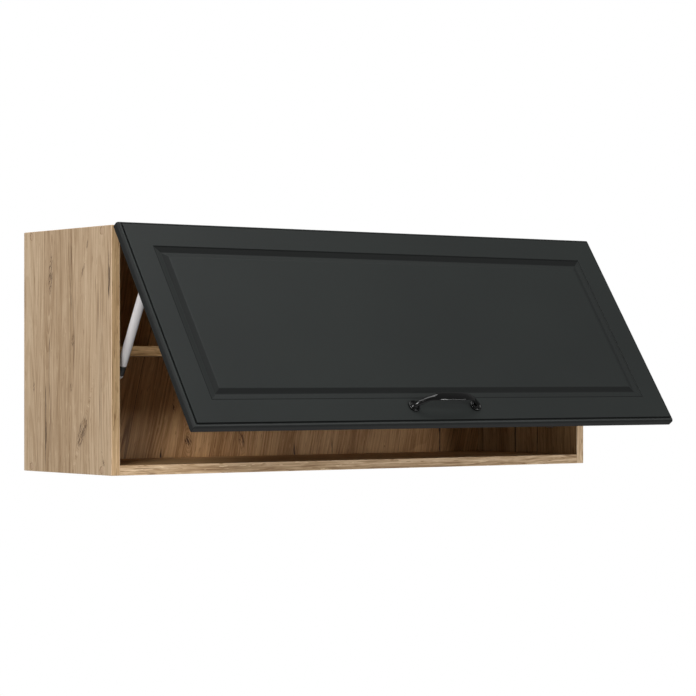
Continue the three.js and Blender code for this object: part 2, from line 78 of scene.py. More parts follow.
class Shader:
    """A node material in the making."""

    def __init__(self, name):
        self.mat = bpy.data.materials.new(name)
        self.mat.use_nodes = True
        self.tree = self.mat.node_tree
        self.tree.nodes.clear()
        self.out = self.add('ShaderNodeOutputMaterial')
        self.bsdf = self.add('ShaderNodeBsdfPrincipled')
        self.link(self.bsdf.outputs[0], self.out.inputs[0])
        self.coord = self.add('ShaderNodeTexCoord').outputs['Object']

    def add(self, kind, **props):
        n = self.tree.nodes.new(kind)
        for k, v in props.items():
            setattr(n, k, v)
        return n

    def link(self, a, b):
        self.tree.links.new(a, b)

    def put(self, value, socket):
        if isinstance(value, bpy.types.NodeSocket):
            self.link(value, socket)
        else:
            socket.default_value = value

    def math(self, op, a, b=0.0, c=0.0, clamp=False):
        n = self.add('ShaderNodeMath', operation=op, use_clamp=clamp)
        for v, s in zip((a, b, c), n.inputs):
            self.put(v, s)
        return n.outputs[0]

    def split(self, v):
        n = self.add('ShaderNodeSeparateXYZ')
        self.link(v, n.inputs[0])
        return n.outputs

    def join(self, x, y, z):
        n = self.add('ShaderNodeCombineXYZ')
        for v, s in zip((x, y, z), n.inputs):
            self.put(v, s)
        return n.outputs[0]

    def scaled(self, v, scale, shift=(0, 0, 0)):
        n = self.add('ShaderNodeMapping')
        self.link(v, n.inputs['Vector'])
        n.inputs['Location'].default_value = shift
        n.inputs['Scale'].default_value = scale
        return n.outputs[0]

    def noise(self, v, scale=1.0, detail=2.0, rough=0.5, warp=0.0):
        n = self.add('ShaderNodeTexNoise')
        self.link(v, n.inputs['Vector'])
        n.inputs['Scale'].default_value = scale
        n.inputs['Detail'].default_value = detail
        n.inputs['Roughness'].default_value = rough
        n.inputs['Distortion'].default_value = warp
        return n.outputs['Fac']

    def span(self, v, a, b, lo=0.0, hi=1.0, smooth=True):
        n = self.add('ShaderNodeMapRange', interpolation_type='SMOOTHSTEP' if smooth else 'LINEAR')
        self.put(v, n.inputs['Value'])
        for k, x in zip(('From Min', 'From Max', 'To Min', 'To Max'), (a, b, lo, hi)):
            n.inputs[k].default_value = x
        return n.outputs['Result']

    def ramp(self, v, stops):
        n = self.add('ShaderNodeValToRGB')
        self.link(v, n.inputs[0])
        e = n.color_ramp.elements
        while len(e) < len(stops):
            e.new(0.5)
        for el, (p, c) in zip(e, stops):
            el.position = p
            el.color = c
        return n.outputs[0]

    def mix(self, fac, a, b, blend='MIX'):
        n = self.add('ShaderNodeMix', data_type='RGBA', blend_type=blend)
        self.put(fac, n.inputs[0])
        self.put(a, n.inputs[6])
        self.put(b, n.inputs[7])
        return n.outputs[2]

    def bump(self, height, strength, distance, under=None):
        n = self.add('ShaderNodeBump')
        n.inputs['Strength'].default_value = strength
        n.inputs['Distance'].default_value = distance
        self.put(height, n.inputs['Height'])
        if under is not None:
            self.link(under, n.inputs['Normal'])
        return n.outputs[0]

    def done(self, color, rough, normal=None, **sockets):
        self.put(color, self.bsdf.inputs['Base Color'])
        self.put(rough, self.bsdf.inputs['Roughness'])
        if normal is not None:
            self.link(normal, self.bsdf.inputs['Normal'])
        for k, v in sockets.items():
            self.bsdf.inputs[k.replace('_', ' ')].default_value = v
        return self.mat


AXES = {'x': (1, 2, 0), 'y': (0, 2, 1), 'z': (0, 1, 2)}


def oak(name, grain, seed, light=1.0, warm=1.0, contrast=1.0, knots=(), cracks=(), planks=(), plane=None, lean=0.0):
    """Light oak print. grain is the axis the fibres follow. Knots, cracks and
    darker planks are placed by (across, along) in metres on the face whose
    other in-plane axis is plane."""
    s = Shader(name)
    p = s.split(s.coord)
    a, b, g = AXES[grain]
    if plane is not None and AXES[grain][0] != 'xyz'.index(plane):
        a, b = b, a
    raw_a, other, raw_g = p[a], p[b], p[g]
    add, sub, mul = (lambda u, v: s.math('ADD', u, v)), (lambda u, v: s.math('SUBTRACT', u, v)), \
        (lambda u, v: s.math('MULTIPLY', u, v))
    along = add(raw_g, seed * 1.37)
    shifted = add(raw_a, seed * 0.731)
    # slow wander of the fibres, and a finer tremble
    flow = s.noise(s.join(mul(shifted, 7.0), mul(other, 7.0), mul(along, 2.6)), detail=2.0, rough=0.45)
    tremble = s.noise(s.join(mul(shifted, 55.0), mul(other, 55.0), mul(along, 26.0)), detail=2.0, rough=0.5)
    drift = add(mul(sub(flow, 0.5), 0.030), mul(sub(tremble, 0.5), 0.0016))
    where = add(raw_a, drift)
    # fibres part around each knot
    core = fissures = flame = None
    for (ka, kg, ra, rg, dark, tilt, spread) in knots:
        dg = sub(raw_g, kg)
        da = sub(where, ka)
        if tilt:
            da = add(da, mul(dg, tilt))
        fall = s.math('POWER', 2.718, mul(mul(dg, dg), -1.0 / (rg * 1.9) ** 2))
        push = mul(fall, (ra * 0.45) ** 2)
        size = s.math('SQRT', s.math('MAXIMUM', sub(mul(da, da), push), 0.0))
        close = s.math('POWER', 2.718, mul(mul(da, da), -1.0 / (ra * 1.6) ** 2))
        where = add(add(mul(size, s.math('SIGN', da)), mul(mul(da, mul(fall, close)), 0.3)), ka)
        if tilt:
            where = sub(where, mul(dg, tilt))
        ua, ug = s.math('DIVIDE', da, ra), s.math('DIVIDE', dg, rg)
        d = add(mul(ua, ua), mul(ug, ug))
        c = mul(s.math('POWER', 2.718, mul(d, -1.6)), dark)
        core = c if core is None else s.math('MAXIMUM', core, c)
        if spread:
            # a flame of nested arcs around the knot
            wa, wg = s.math('DIVIDE', da, ra * spread), s.math('DIVIDE', dg, rg * spread * 1.6)
            e = add(mul(wa, wa), mul(wg, wg))
            arcs = s.math('FRACT', mul(add(s.math('SQRT', e), mul(sub(tremble, 0.5), 0.10)), 6.0))
            arcs = mul(s.span(arcs, 0.35, 0.95), s.span(e, 1.0, 0.35))
            arcs = mul(arcs, dark)
            flame = arcs if flame is None else s.math('MAXIMUM', flame, arcs)
    if lean:
        where = sub(where, mul(raw_g, lean))
    q = s.join(add(where, seed * 0.731), other, along)
    # growth rings cut lengthwise: contours of a long, slow field
    field = s.noise(s.scaled(q, (12.0, 12.0, 0.75)), detail=1.0, rough=0.4)
    rings = s.math('FRACT', mul(field, 26.0))
    late = mul(s.span(rings, 0.30, 0.92), s.span(rings, 1.0, 0.95))
    quiet = s.noise(s.scaled(q, (16, 16, 1.6), (1.7, 0, 3.0)), detail=2.0)
    late = mul(late, s.span(quiet, 0.36, 0.62, 0.25, 1.0))
    broad = s.span(s.noise(s.scaled(q, (21, 21, 0.7)), detail=2.0, rough=0.5), 0.36, 0.64)
    band = s.noise(s.scaled(q, (70, 70, 1.8), (3.1, 0, 0.7)), detail=3.0, rough=0.6)
    streak = s.span(s.noise(s.scaled(q, (250, 250, 6.5), (0, 5.0, 0)), detail=3.0, rough=0.66), 0.30, 0.70, smooth=False)
    fibre = s.noise(s.scaled(q, (760, 760, 22.0)), detail=2.0, rough=0.6)
    pore = s.noise(s.scaled(q, (1500, 1500, 75.0), (9.0, 0, 0)), detail=1.0, rough=0.5)
    tone = mul(sub(broad, 0.5), 0.16 * contrast)
    tone = add(tone, mul(sub(band, 0.5), 0.34 * contrast))
    tone = add(tone, mul(sub(streak, 0.5), 0.34 * contrast))
    tone = add(tone, mul(sub(fibre, 0.5), 0.50 * contrast))
    tone = add(sub(tone, mul(late, 0.13 * contrast)), 0.555)
    for (pa, half, amount) in planks:
        away = s.math('ABSOLUTE', sub(add(raw_a, mul(drift, 0.4)), pa))
        tone = sub(tone, mul(s.span(away, half + 0.003, half - 0.003), amount))
    k = light
    c = lambda r, gg, bb: tuple(v * m for v, m in zip(lin(r, gg, bb), (k, k / (0.7 + 0.3 * warm), k / warm, 1)))[:3] + (1.0,)
    color = s.ramp(tone, [(0.10, c(130, 102, 73)), (0.34, c(166, 139, 108)), (0.52, c(187, 161, 131)),
                          (0.70, c(201, 177, 147)), (0.92, c(216, 194, 165))])
    pores = s.span(pore, 0.62, 0.74)
    color = s.mix(mul(pores, 0.22 * contrast), color, c(122, 94, 64))
    # short dark and light flecks
    fleck = s.noise(s.scaled(q, (300, 300, 34.0), (4.0, 0, 6.0)), detail=2.0, rough=0.55)
    color = s.mix(mul(s.span(fleck, 0.63, 0.70), 0.55 * contrast), color, c(134, 104, 72))
    color = s.mix(mul(s.span(fleck, 0.36, 0.30), 0.45 * contrast), color, c(219, 197, 165))
    # checks: thin dark lines that come and go along the fibres
    line = s.math('ABSOLUTE', sub(s.noise(s.scaled(q, (46, 46, 1.1), (0, 0, 4.0)), detail=1.0), 0.5))
    gate = s.noise(s.scaled(q, (26, 26, 5.0), (5.0, 0, 2.0)), detail=1.0)
    check = mul(s.span(line, 0.017, 0.002), s.span(gate, 0.54, 0.62))
    color = s.mix(mul(check, min(1.0, 0.62 * contrast)), color, c(108, 79, 50))
    dents = add(mul(pores, 0.5), check)
    if flame is not None:
        color = s.mix(mul(flame, 0.5), color, c(138, 108, 76))
    if core is not None:
        # fine feathered fissures, leaning across the fibres
        hatch = s.noise(s.join(add(mul(raw_a, 520.0), mul(along, 200.0)), mul(other, 520.0), mul(along, 78.0)),
                        detail=3.0, rough=0.7, warp=0.5)
        color = s.mix(mul(core, 0.22), color, c(140, 110, 80))
        fissures = mul(s.span(hatch, 0.49, 0.565), s.span(core, 0.05, 0.42))
        color = s.mix(fissures, color, c(74, 50, 29))
        dents = add(dents, fissures)
    for (ka, g0, g1, w, dark) in cracks:
        wob = s.noise(s.join(mul(along, 24.0), ka * 40, 0.3), detail=3.0, rough=0.6)
        da = s.math('ABSOLUTE', add(sub(raw_a, ka), add(mul(drift, 0.5), mul(sub(wob, 0.5), 0.006))))
        width = mul(s.span(wob, 0.35, 0.65, 0.45, 1.5), w)
        m = s.math('SUBTRACT', 1.0, s.math('DIVIDE', da, width), clamp=True)
        ends = mul(s.span(raw_g, g0, g0 + 0.02), s.span(raw_g, g1, g1 - 0.02))
        m = s.math('MULTIPLY', mul(s.span(m, 0.0, 0.5), ends), dark, clamp=True)
        color = s.mix(m, color, c(48, 30, 16))
        dents = add(dents, m)
    rough = s.span(tone, 0.2, 0.9, 0.62, 0.5)
    height = sub(mul(fibre, 0.35), dents)
    normal = s.bump(height, 0.35, 0.00018)
    return s.done(color, rough, normal, Specular_IOR_Level=0.30)


def chipboard(name):
    s = Shader(name)
    v = s.add('ShaderNodeTexVoronoi', feature='F1')
    s.link(s.scaled(s.coord, (620, 620, 900)), v.inputs['Vector'])
    v.inputs['Scale'].default_value = 1.0
    chips = s.split(v.outputs['Color'])[0]
    fine = s.noise(s.coord, 2600, 3.0, 0.6)
    mixed = s.math('ADD', s.math('MULTIPLY', chips, 0.6), s.math('MULTIPLY', fine, 0.4))
    color = s.ramp(mixed, [(0.15, lin(120, 92, 62)), (0.5, lin(168, 138, 100)), (0.85, lin(200, 174, 136))])
    return s.done(color, 0.85, s.bump(mixed, 0.5, 0.0003), Specular_IOR_Level=0.2)


def hardboard(name):
    s = Shader(name)
    fine = s.noise(s.coord, 1800, 4.0, 0.7)
    fibre = s.noise(s.scaled(s.coord, (420, 420, 160)), 1.0, 3.0, 0.7)
    slow = s.noise(s.coord, 7.0, 2.0, 0.5)
    m = s.math('ADD', s.math('MULTIPLY', fine, 0.35), s.math('MULTIPLY', fibre, 0.4))
    m = s.math('ADD', m, s.math('MULTIPLY', slow, 0.25))
    color = s.ramp(m, [(0.3, lin(104, 78, 54)), (0.5, lin(133, 103, 74)), (0.7, lin(156, 126, 94))])
    return s.done(color, 0.8, s.bump(m, 0.35, 0.0002), Specular_IOR_Level=0.25)


def foil(name):
    """Matte graphite foil over routed board: fine even grain, slow variation."""
    s = Shader(name)
    peel = s.noise(s.coord, 420, 2.0, 0.5)
    fine = s.noise(s.coord, 3600, 2.0, 0.6)
    slow = s.noise(s.scaled(s.coord, (3.0, 3.0, 5.0)), 1.0, 2.0, 0.5)
    v = s.math('ADD', s.math('MULTIPLY', fine, 0.55), s.math('MULTIPLY', slow, 0.45))
    color = s.ramp(v, [(0.30, lin(35, 38, 37)), (0.5, lin(37, 40, 39)), (0.70, lin(39, 43, 41))])
    # painted shade: over the routing the colour is darkened towards near-black in bands (the groove's step, floor and
    # inner slope, the notch by the edge and the outer rim), by different amounts on the top, bottom, left and right
    # sides, standing in for shade; the groove is also made rougher
    x, _, z = s.split(s.coord)
    from_side = s.math('SUBTRACT', DOOR_W / 2000, s.math('ABSOLUTE', x))
    from_top = s.math('MULTIPLY', z, -1.0)
    from_bottom = s.math('ADD', z, DOOR_H / 1000)
    inset = s.math('MINIMUM', from_side, s.math('MINIMUM', from_top, from_bottom))
    # how much a point belongs to the top, the bottom or a side, so the painted shade can differ from side to side
    on_top = s.span(s.math('SUBTRACT', from_top, inset), 0.0004, 0.0)
    on_bottom = s.span(s.math('SUBTRACT', from_bottom, inset), 0.0004, 0.0)
    on_side = s.span(s.math('SUBTRACT', from_side, inset), 0.0004, 0.0)
    on_left = s.math('MULTIPLY', on_side, s.math('LESS_THAN', x, 0.0))
    on_right = s.math('MULTIPLY', on_side, s.math('GREATER_THAN', x, 0.0))

    def shade_band(a, b, c, d, top, bottom, left, right):
        amount = s.math('MAXIMUM', s.math('MAXIMUM', s.math('MULTIPLY', on_top, top), s.math('MULTIPLY', on_bottom, bottom)),
                        s.math('MAXIMUM', s.math('MULTIPLY', on_left, left), s.math('MULTIPLY', on_right, right)))
        return s.math('MULTIPLY', s.math('MULTIPLY', s.span(inset, a, b), s.span(inset, d, c)), amount)
    # painted shade in the groove: the step, the groove's floor and its inner slope, each with its own strength per side
    step_shade = shade_band(0.0484, 0.0490, 0.0505, 0.0513, 0.42, 0.95, 0.95, 0.14)
    floor = shade_band(0.0490, 0.0500, 0.0600, 0.0618, 0.74, 0.15, 0.15, 0.20)
    slope_shade = shade_band(0.0595, 0.0620, 0.0698, 0.0714, 0.08, 0.70, 0.54, 0.20)
    # cut: all the painted groove shade together
    cut = s.math('MAXIMUM', s.math('MAXIMUM', step_shade, floor), slope_shade)
    # painted shade in the notch by the edge
    notch_shade = shade_band(0.0044, 0.0049, 0.0068, 0.0070, 0.75, 0.75, 0.75, 0.75)
    # painted shade along the outer rim, within 2 mm of every edge
    rim = s.math('MULTIPLY', s.span(inset, 0.0020, 0.0009), 0.62)
    # the painted shade goes into the colour here
    color = s.mix(cut, color, lin(4, 5, 5))
    color = s.mix(s.math('MAXIMUM', notch_shade, rim), color, lin(9, 10, 10))
    rough = s.math('ADD', s.span(v, 0.3, 0.7, 0.44, 0.52), s.span(cut, 0.0, 0.8, 0.0, 0.36))
    normal = s.bump(peel, 0.08, 0.0002)
    normal = s.bump(fine, 0.14, 0.00008, under=normal)
    return s.done(color, rough, normal, Specular_IOR_Level=0.24)


def lacquer(name):
    """Glossy black lacquer on a casting, with a slight orange peel."""
    s = Shader(name)
    peel = s.noise(s.coord, 230, 2.0, 0.5)
    dust = s.noise(s.coord, 2400, 2.0, 0.6)
    color = s.ramp(dust, [(0.35, lin(2, 2, 2)), (0.7, lin(6, 6, 6))])
    rough = s.span(dust, 0.35, 0.7, 0.09, 0.15)
    return s.done(color, rough, s.bump(peel, 0.08, 0.0003), Specular_IOR_Level=0.42)


def metal(name, dark, light, rough, brushed=None, grain=900, bump=0.12):
    s = Shader(name)
    sc = {None: (1, 1, 1), 'x': (0.05, 1, 1), 'y': (1, 0.05, 1), 'z': (1, 1, 0.05)}[brushed]
    fine = s.noise(s.scaled(s.coord, tuple(grain * v for v in sc)), 1.0, 3.0, 0.6)
    slow = s.noise(s.coord, 45, 3.0, 0.6)
    v = s.math('ADD', s.math('MULTIPLY', fine, 0.5), s.math('MULTIPLY', slow, 0.5))
    color = s.ramp(v, [(0.3, dark), (0.7, light)])
    r = s.span(v, 0.3, 0.7, rough + 0.08, rough - 0.06)
    return s.done(color, r, s.bump(fine, bump, 0.0001), Metallic=1.0)


def paint(name, base, rough=0.42):
    s = Shader(name)
    peel = s.noise(s.coord, 520, 2.0, 0.5)
    dust = s.noise(s.coord, 1900, 2.0, 0.6)
    scuff = s.span(s.noise(s.scaled(s.coord, (160, 160, 34)), 1.0, 4.0, 0.7), 0.62, 0.80)
    color = s.ramp(dust, [(0.3, tuple(v * 0.92 for v in base[:3]) + (1,)), (0.7, base)])
    color = s.mix(s.math('MULTIPLY', scuff, 0.35), color, tuple(v * 0.7 for v in base[:3]) + (1,))
    r = s.math('ADD', s.math('MULTIPLY', scuff, 0.18), rough, clamp=True)
    return s.done(color, r, s.bump(peel, 0.12, 0.0002), Specular_IOR_Level=0.5)


def plastic(name, base, rough=0.45, grain=2200, bump=0.2):
    s = Shader(name)
    fine = s.noise(s.coord, grain, 3.0, 0.6)
    slow = s.noise(s.coord, 60, 2.0, 0.5)
    v = s.math('ADD', s.math('MULTIPLY', fine, 0.5), s.math('MULTIPLY', slow, 0.5))
    color = s.ramp(v, [(0.3, tuple(x * 0.88 for x in base[:3]) + (1,)), (0.7, base)])
    return s.done(color, s.span(v, 0.3, 0.7, rough + 0.06, rough - 0.05), s.bump(fine, bump, 0.00008))


OAK_SIDE = oak('oak_side', 'z', 1.0, plane='y',
               knots=[(-0.093, 0.128, 0.0060, 0.034, 1.0, 0.06, 3.6), (-0.162, 0.017, 0.0040, 0.010, 1.0, 0.0, 0.0),
                      (-0.195, -0.131, 0.0120, 0.026, 0.95, 0.42, 0.0), (-0.160, -0.060, 0.0030, 0.008, 0.8, 0.0, 0.0),
                      (-0.192, 0.130, 0.0035, 0.012, 0.7, 0.5, 0.0), (-0.206, 0.172, 0.0030, 0.008, 0.7, 0.3, 0.0),
                      (-0.262, -0.182, 0.0030, 0.009, 0.9, -0.3, 0.0), (-0.040, -0.060, 0.0030, 0.012, 0.6, 0.0, 0.0)],
               cracks=[(-0.078, -0.197, -0.050, 0.0019, 1.0), (-0.278, 0.078, 0.168, 0.0016, 1.0),
                       (-0.090, -0.085, 0.030, 0.0013, 0.6), (-0.157, 0.060, 0.180, 0.0014, 0.5)],
               planks=[(-0.098, 0.028, 0.10), (-0.142, 0.020, 0.06), (-0.250, 0.030, -0.06)])
OAK_SIDE_R = oak('oak_side_right', 'z', 5.3, plane='y',
                 knots=[(-0.190, 0.060, 0.006, 0.022, 1.0, 0.2, 4.0), (-0.090, -0.120, 0.008, 0.018, 0.9, -0.3, 0.0)],
                 cracks=[(-0.130, -0.02, 0.12, 0.0018, 0.8)], planks=[(-0.190, 0.030, 0.10)])
# painted shade: the inner faces of both sides get a darker, redder copy of the oak print, standing in for the dim, warm
# light inside the cabinet
OAK_SIDE_INSIDE_PAINTED_SHADE = oak('oak_side_inside_painted_shade', 'z', 14.2, light=0.84, warm=1.6, contrast=1.2, plane='y', lean=0.08,
                 cracks=[(-0.111, -0.20, -0.100, 0.0016, 0.9), (-0.177, -0.20, -0.110, 0.0013, 0.8)])
# painted shade: the left side's front edge is a darker, redder copy of the edge print, standing in for the shade the
# door casts on it
OAK_EDGE_LEFT_SHADED = oak('oak_edge_left_shaded', 'z', 8.2, light=1.10, warm=1.40, contrast=1.3)
# painted light: the inner faces of the top and floor boards get a redder copy of the print, standing in for the warm
# light bounced inside the cabinet
OAK_LONG_INSIDE_PAINTED_LIGHT = oak('oak_boards_inside_painted_light', 'x', 7.8, light=1.14, warm=1.6, plane='y')
OAK_LONG = oak('oak_boards', 'x', 3.4, light=1.08, warm=1.15, plane='y',
               knots=[(-0.150, 0.210, 0.006, 0.030, 0.9, 0.1, 3.5), (-0.090, -0.300, 0.005, 0.022, 0.9, 0.0, 0.0)])
# painted light: the right side's front edge is a lighter, less red copy of the same edge print, standing in for the
# brighter light on it
OAK_EDGE_RIGHT_LIT = oak('oak_edge_right_lit', 'z', 11.4, light=1.42, warm=1.08, contrast=1.3)
OAK_LONG_EDGE = oak('oak_edge_long', 'x', 6.1, light=1.42, warm=1.08, contrast=1.6)
OAK_SHELF_EDGE = oak('oak_edge_shelf', 'x', 2.7, light=1.28, warm=1.55, contrast=1.2)
# painted highlight: the rounded vertical corners of each side's front edge get a lighter, plainer copy of the print, a
# light line along the arris
OAK_ARRIS_HIGHLIGHT = oak('oak_arris_highlight', 'z', 4.4, light=1.40, warm=1.0, contrast=0.6)
OAK_SHELF = oak('oak_shelf', 'x', 9.6, plane='y', contrast=1.1)
OAK_BACK = oak('oak_back', 'z', 12.7, light=1.03, warm=2.05, contrast=1.25, plane='x', lean=0.2,
               knots=[(-0.176, -0.154, 0.0080, 0.011, 1.0, 0.0, 2.6), (-0.206, -0.094, 0.0035, 0.013, 0.8, 0.0, 0.0),
                      (-0.060, -0.150, 0.0090, 0.024, 0.5, 0.1, 4.5), (0.05, 0.04, 0.010, 0.022, 0.9, 0.1, 3.0),
                      (0.26, -0.12, 0.007, 0.020, 0.9, 0.0, 0.0)],
               cracks=[(-0.230, -0.20, -0.160, 0.0015, 1.0), (0.392, -0.20, -0.12, 0.0022, 1.0),
                       (0.057, -0.20, -0.155, 0.0014, 0.9), (0.140, -0.20, -0.15, 0.0014, 0.7)],
               planks=[(-0.42, 0.035, 0.05), (-0.10, 0.03, 0.07), (0.16, 0.04, 0.06), (0.41, 0.09, 0.13)])
CHIP = chipboard('raw_chipboard')
HARD = hardboard('hardboard_rear')
GRAPHITE = foil('graphite_foil')
MDF = hardboard('fibreboard_cut')
BLACK = lacquer('black_lacquer')
NICKEL = metal('nickel_plate', lin(168, 165, 158), lin(205, 202, 194), 0.30)
STEEL = metal('zinc_steel', lin(150, 152, 155), lin(192, 194, 196), 0.38)
CHROME = metal('polished_rod', lin(190, 193, 196), lin(222, 224, 226), 0.12, brushed='z', grain=2400, bump=0.04)
GREY = paint('grey_paint', lin(216, 213, 213), 0.42)
BLACK_PL = plastic('black_plastic', lin(13, 13, 13), 0.40)
LIGHT_PL = plastic('light_plastic', lin(226, 224, 222), 0.4)
WHITE_PL = plastic('white_plastic', lin(228, 226, 220), 0.45)
CAP_PL = plastic('cap_plastic', lin(186, 158, 128), 0.5)


# ------------------------------------------------------------------- geometry
def place(name, bm, mats, body, nodes=(), matrix=ROW, smooth=35, weighted=True):
    """A finished piece: millimetres to metres, in place, riding on its body."""
    bmesh.ops.scale(bm, vec=(MM, MM, MM), verts=bm.verts)
    bmesh.ops.recalc_face_normals(bm, faces=bm.faces)
    me = bpy.data.meshes.new(name)
    bm.to_mesh(me)
    bm.free()
    for m in mats if isinstance(mats, (list, tuple)) else [mats]:
        me.materials.append(m)
    me.polygons.foreach_set('use_smooth', [True] * len(me.polygons))
    me.set_sharp_from_angle(angle=rad(smooth))
    o = bpy.data.objects.new(name, me)
    bpy.context.scene.collection.objects.link(o)
    o.matrix_world = matrix
    if weighted:
        w = o.modifiers.new('normals', 'WEIGHTED_NORMAL')
        w.keep_sharp = True
        w.weight = 60
    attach(o, body)
    if nodes:
        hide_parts(*nodes)
    return o


def mesh_of(o):
    """The mesh of an object with its modifiers applied; the object goes away."""
    bpy.context.view_layer.update()
    dg = bpy.context.evaluated_depsgraph_get()
    me = bpy.data.meshes.new_from_object(o.evaluated_get(dg), depsgraph=dg)
    bm = bmesh.new()
    bm.from_mesh(me)
    bpy.data.meshes.remove(me)
    old = o.data
    bpy.data.objects.remove(o)
    bpy.data.meshes.remove(old)
    return bm


def temp(bm, name='temp'):
    me = bpy.data.meshes.new(name)
    bm.to_mesh(me)
    bm.free()
    o = bpy.data.objects.new(name, me)
    bpy.context.scene.collection.objects.link(o)
    return o


def carve(bm, cutters, mode='DIFFERENCE'):
    """bm minus (or joined with) each cutter, all bmeshes; the cutters are used up."""
    n_mats = max([f.material_index for f in bm.faces] + [f.material_index for c in cutters for f in c.faces]) + 1
    base = temp(bm)
    slots = [bpy.data.materials.get('_slot%d' % i) or bpy.data.materials.new('_slot%d' % i) for i in range(n_mats)]
    for m in slots:
        base.data.materials.append(m)
    tools = []
    for c in cutters:
        t = temp(c, 'cutter')
        for m in slots:
            t.data.materials.append(m)
        tools.append(t)
        mod = base.modifiers.new('cut', 'BOOLEAN')
        mod.operation = mode
        mod.solver = 'EXACT'
        mod.object = t
    out = mesh_of(base)
    for t in tools:
        me = t.data
        bpy.data.objects.remove(t)
        bpy.data.meshes.remove(me)
    return out


def cuboid(x0, x1, y0, y1, z0, z1, bevel=0.0, seg=2, mat=0):
    bm = bmesh.new()
    bmesh.ops.create_cube(bm, size=1.0)
    lo = Vector((min(x0, x1), min(y0, y1), min(z0, z1)))
    hi = Vector((max(x0, x1), max(y0, y1), max(z0, z1)))
    for v in bm.verts:
        v.co = Vector((lo[i] + (v.co[i] + 0.5) * (hi[i] - lo[i]) for i in range(3)))
    if bevel:
        bmesh.ops.bevel(bm, geom=bm.edges[:], offset=bevel, segments=seg, profile=0.5, affect='EDGES')
    for f in bm.faces:
        f.material_index = mat
    return bm


TURN = {'x': Matrix(((0, 0, 1), (1, 0, 0), (0, 1, 0))).to_4x4(),
        'y': Matrix(((1, 0, 0), (0, 0, 1), (0, -1, 0))).to_4x4(),
        'z': Matrix.Identity(4)}


def turned(profile, axis='z', at=(0, 0, 0), seg=48, mat=0, flip=False):
    """A turned piece: (radius, height) pairs along the axis. A profile that
    starts and ends on the axis is solid; any other is a closed ring."""
    bm = bmesh.new()
    rows = []
    closed = profile[0][0] > 1e-6 or profile[-1][0] > 1e-6
    for r, h in profile:
        if flip:
            h = -h
        if r < 1e-6:
            rows.append([bm.verts.new((0, 0, h))])
        else:
            rows.append([bm.verts.new((r * math.cos(2 * math.pi * i / seg), r * math.sin(2 * math.pi * i / seg), h))
                         for i in range(seg)])
    pairs = list(zip(rows, rows[1:]))
    if closed:
        pairs.append((rows[-1], rows[0]))
    for a, b in pairs:
        for i in range(seg):
            j = (i + 1) % seg
            if len(a) == 1 and len(b) == 1:
                continue
            if len(a) == 1:
                bm.faces.new((a[0], b[i], b[j]))
            elif len(b) == 1:
                bm.faces.new((a[i], a[j], b[0]))
            else:
                bm.faces.new((a[i], a[j], b[j], b[i]))
    # the axis turns +Z to the asked direction
    m = TURN[axis]
    bm.transform(Matrix.Translation(at) @ m)
    bmesh.ops.recalc_face_normals(bm, faces=bm.faces)
    for f in bm.faces:
        f.material_index = mat
    return bm


def rod(axis, a, b, c, d, r, seg=32, chamfer=0.0, mat=0):
    """A round bar from a to b along the axis; c, d are its place on the other two."""
    lo, hi = min(a, b), max(a, b)
    k = chamfer
    prof = [(0, lo), (r - k, lo), (r, lo + k), (r, hi - k), (r - k, hi), (0, hi)] if k else \
        [(0, lo), (r, lo), (r, hi), (0, hi)]
    if axis == 'y':
        return turned([(q, h) for q, h in prof], 'y', (c, 0, d), seg, mat)
    if axis == 'x':
        return turned(prof, 'x', (0, c, d), seg, mat)
    return turned(prof, 'z', (c, d, 0), seg, mat)


def merge(*parts):
    """Several closed shells in one mesh."""
    out = bmesh.new()
    for b in parts:
        me = bpy.data.meshes.new('part')
        b.to_mesh(me)
        b.free()
        out.from_mesh(me)
        bpy.data.meshes.remove(me)
    return out


def outline_plate(points, x0, x1, bevel=0.0, mat=0):
    """A flat plate: outline in (y, z), thickness along X."""
    bm = bmesh.new()
    ring = [bm.verts.new((x0, y, z)) for y, z in points]
    face = bm.faces.new(ring)
    ext = bmesh.ops.extrude_face_region(bm, geom=[face])
    verts = [g for g in ext['geom'] if isinstance(g, bmesh.types.BMVert)]
    bmesh.ops.translate(bm, vec=(x1 - x0, 0, 0), verts=verts)
    bmesh.ops.recalc_face_normals(bm, faces=bm.faces)
    if bevel:
        rim = [e for e in bm.edges if abs(e.verts[0].co.x - e.verts[1].co.x) < 1e-6]
        bmesh.ops.bevel(bm, geom=rim, offset=bevel, segments=2, profile=0.5, affect='EDGES')
    for f in bm.faces:
        f.material_index = mat
    return bm


def round_link(a, b, half, steps=10):
    t0 = math.atan2(b[1] - a[1], b[0] - a[0])
    pts = []
    for i in range(steps + 1):
        t = t0 + math.pi / 2 + math.pi * i / steps
        pts.append((a[0] + half * math.cos(t), a[1] + half * math.sin(t)))
    for i in range(steps + 1):
        t = t0 - math.pi / 2 + math.pi * i / steps
        pts.append((b[0] + half * math.cos(t), b[1] + half * math.sin(t)))
    return pts


def cross_recess(axis, c, depth, size, sign=1):
    """Two crossed blades to cut a cross slot; c is the middle of the mouth."""
    x, y, z = c
    w = size * 0.13
    if axis == 'y':
        y0, y1 = sorted((y + sign * 1.0, y - sign * depth))
        return [cuboid(x - w, x + w, y0, y1, z - size / 2, z + size / 2),
                cuboid(x - size / 2, x + size / 2, y0, y1, z - w, z + w)]
    if axis == 'z':
        z0, z1 = sorted((z + sign * 1.0, z - sign * depth))
        return [cuboid(x - w, x + w, y - size / 2, y + size / 2, z0, z1),
                cuboid(x - size / 2, x + size / 2, y - w, y + w, z0, z1)]
    x0, x1 = sorted((x + sign * 1.0, x - sign * depth))
    return [cuboid(x0, x1, y - w, y + w, z - size / 2, z + size / 2),
            cuboid(x0, x1, y - size / 2, y + size / 2, z - w, z + w)]


def side(s, a, b):
    """a..b on the right, mirrored on the left, in rising order."""
    return sorted((s * a, s * b))


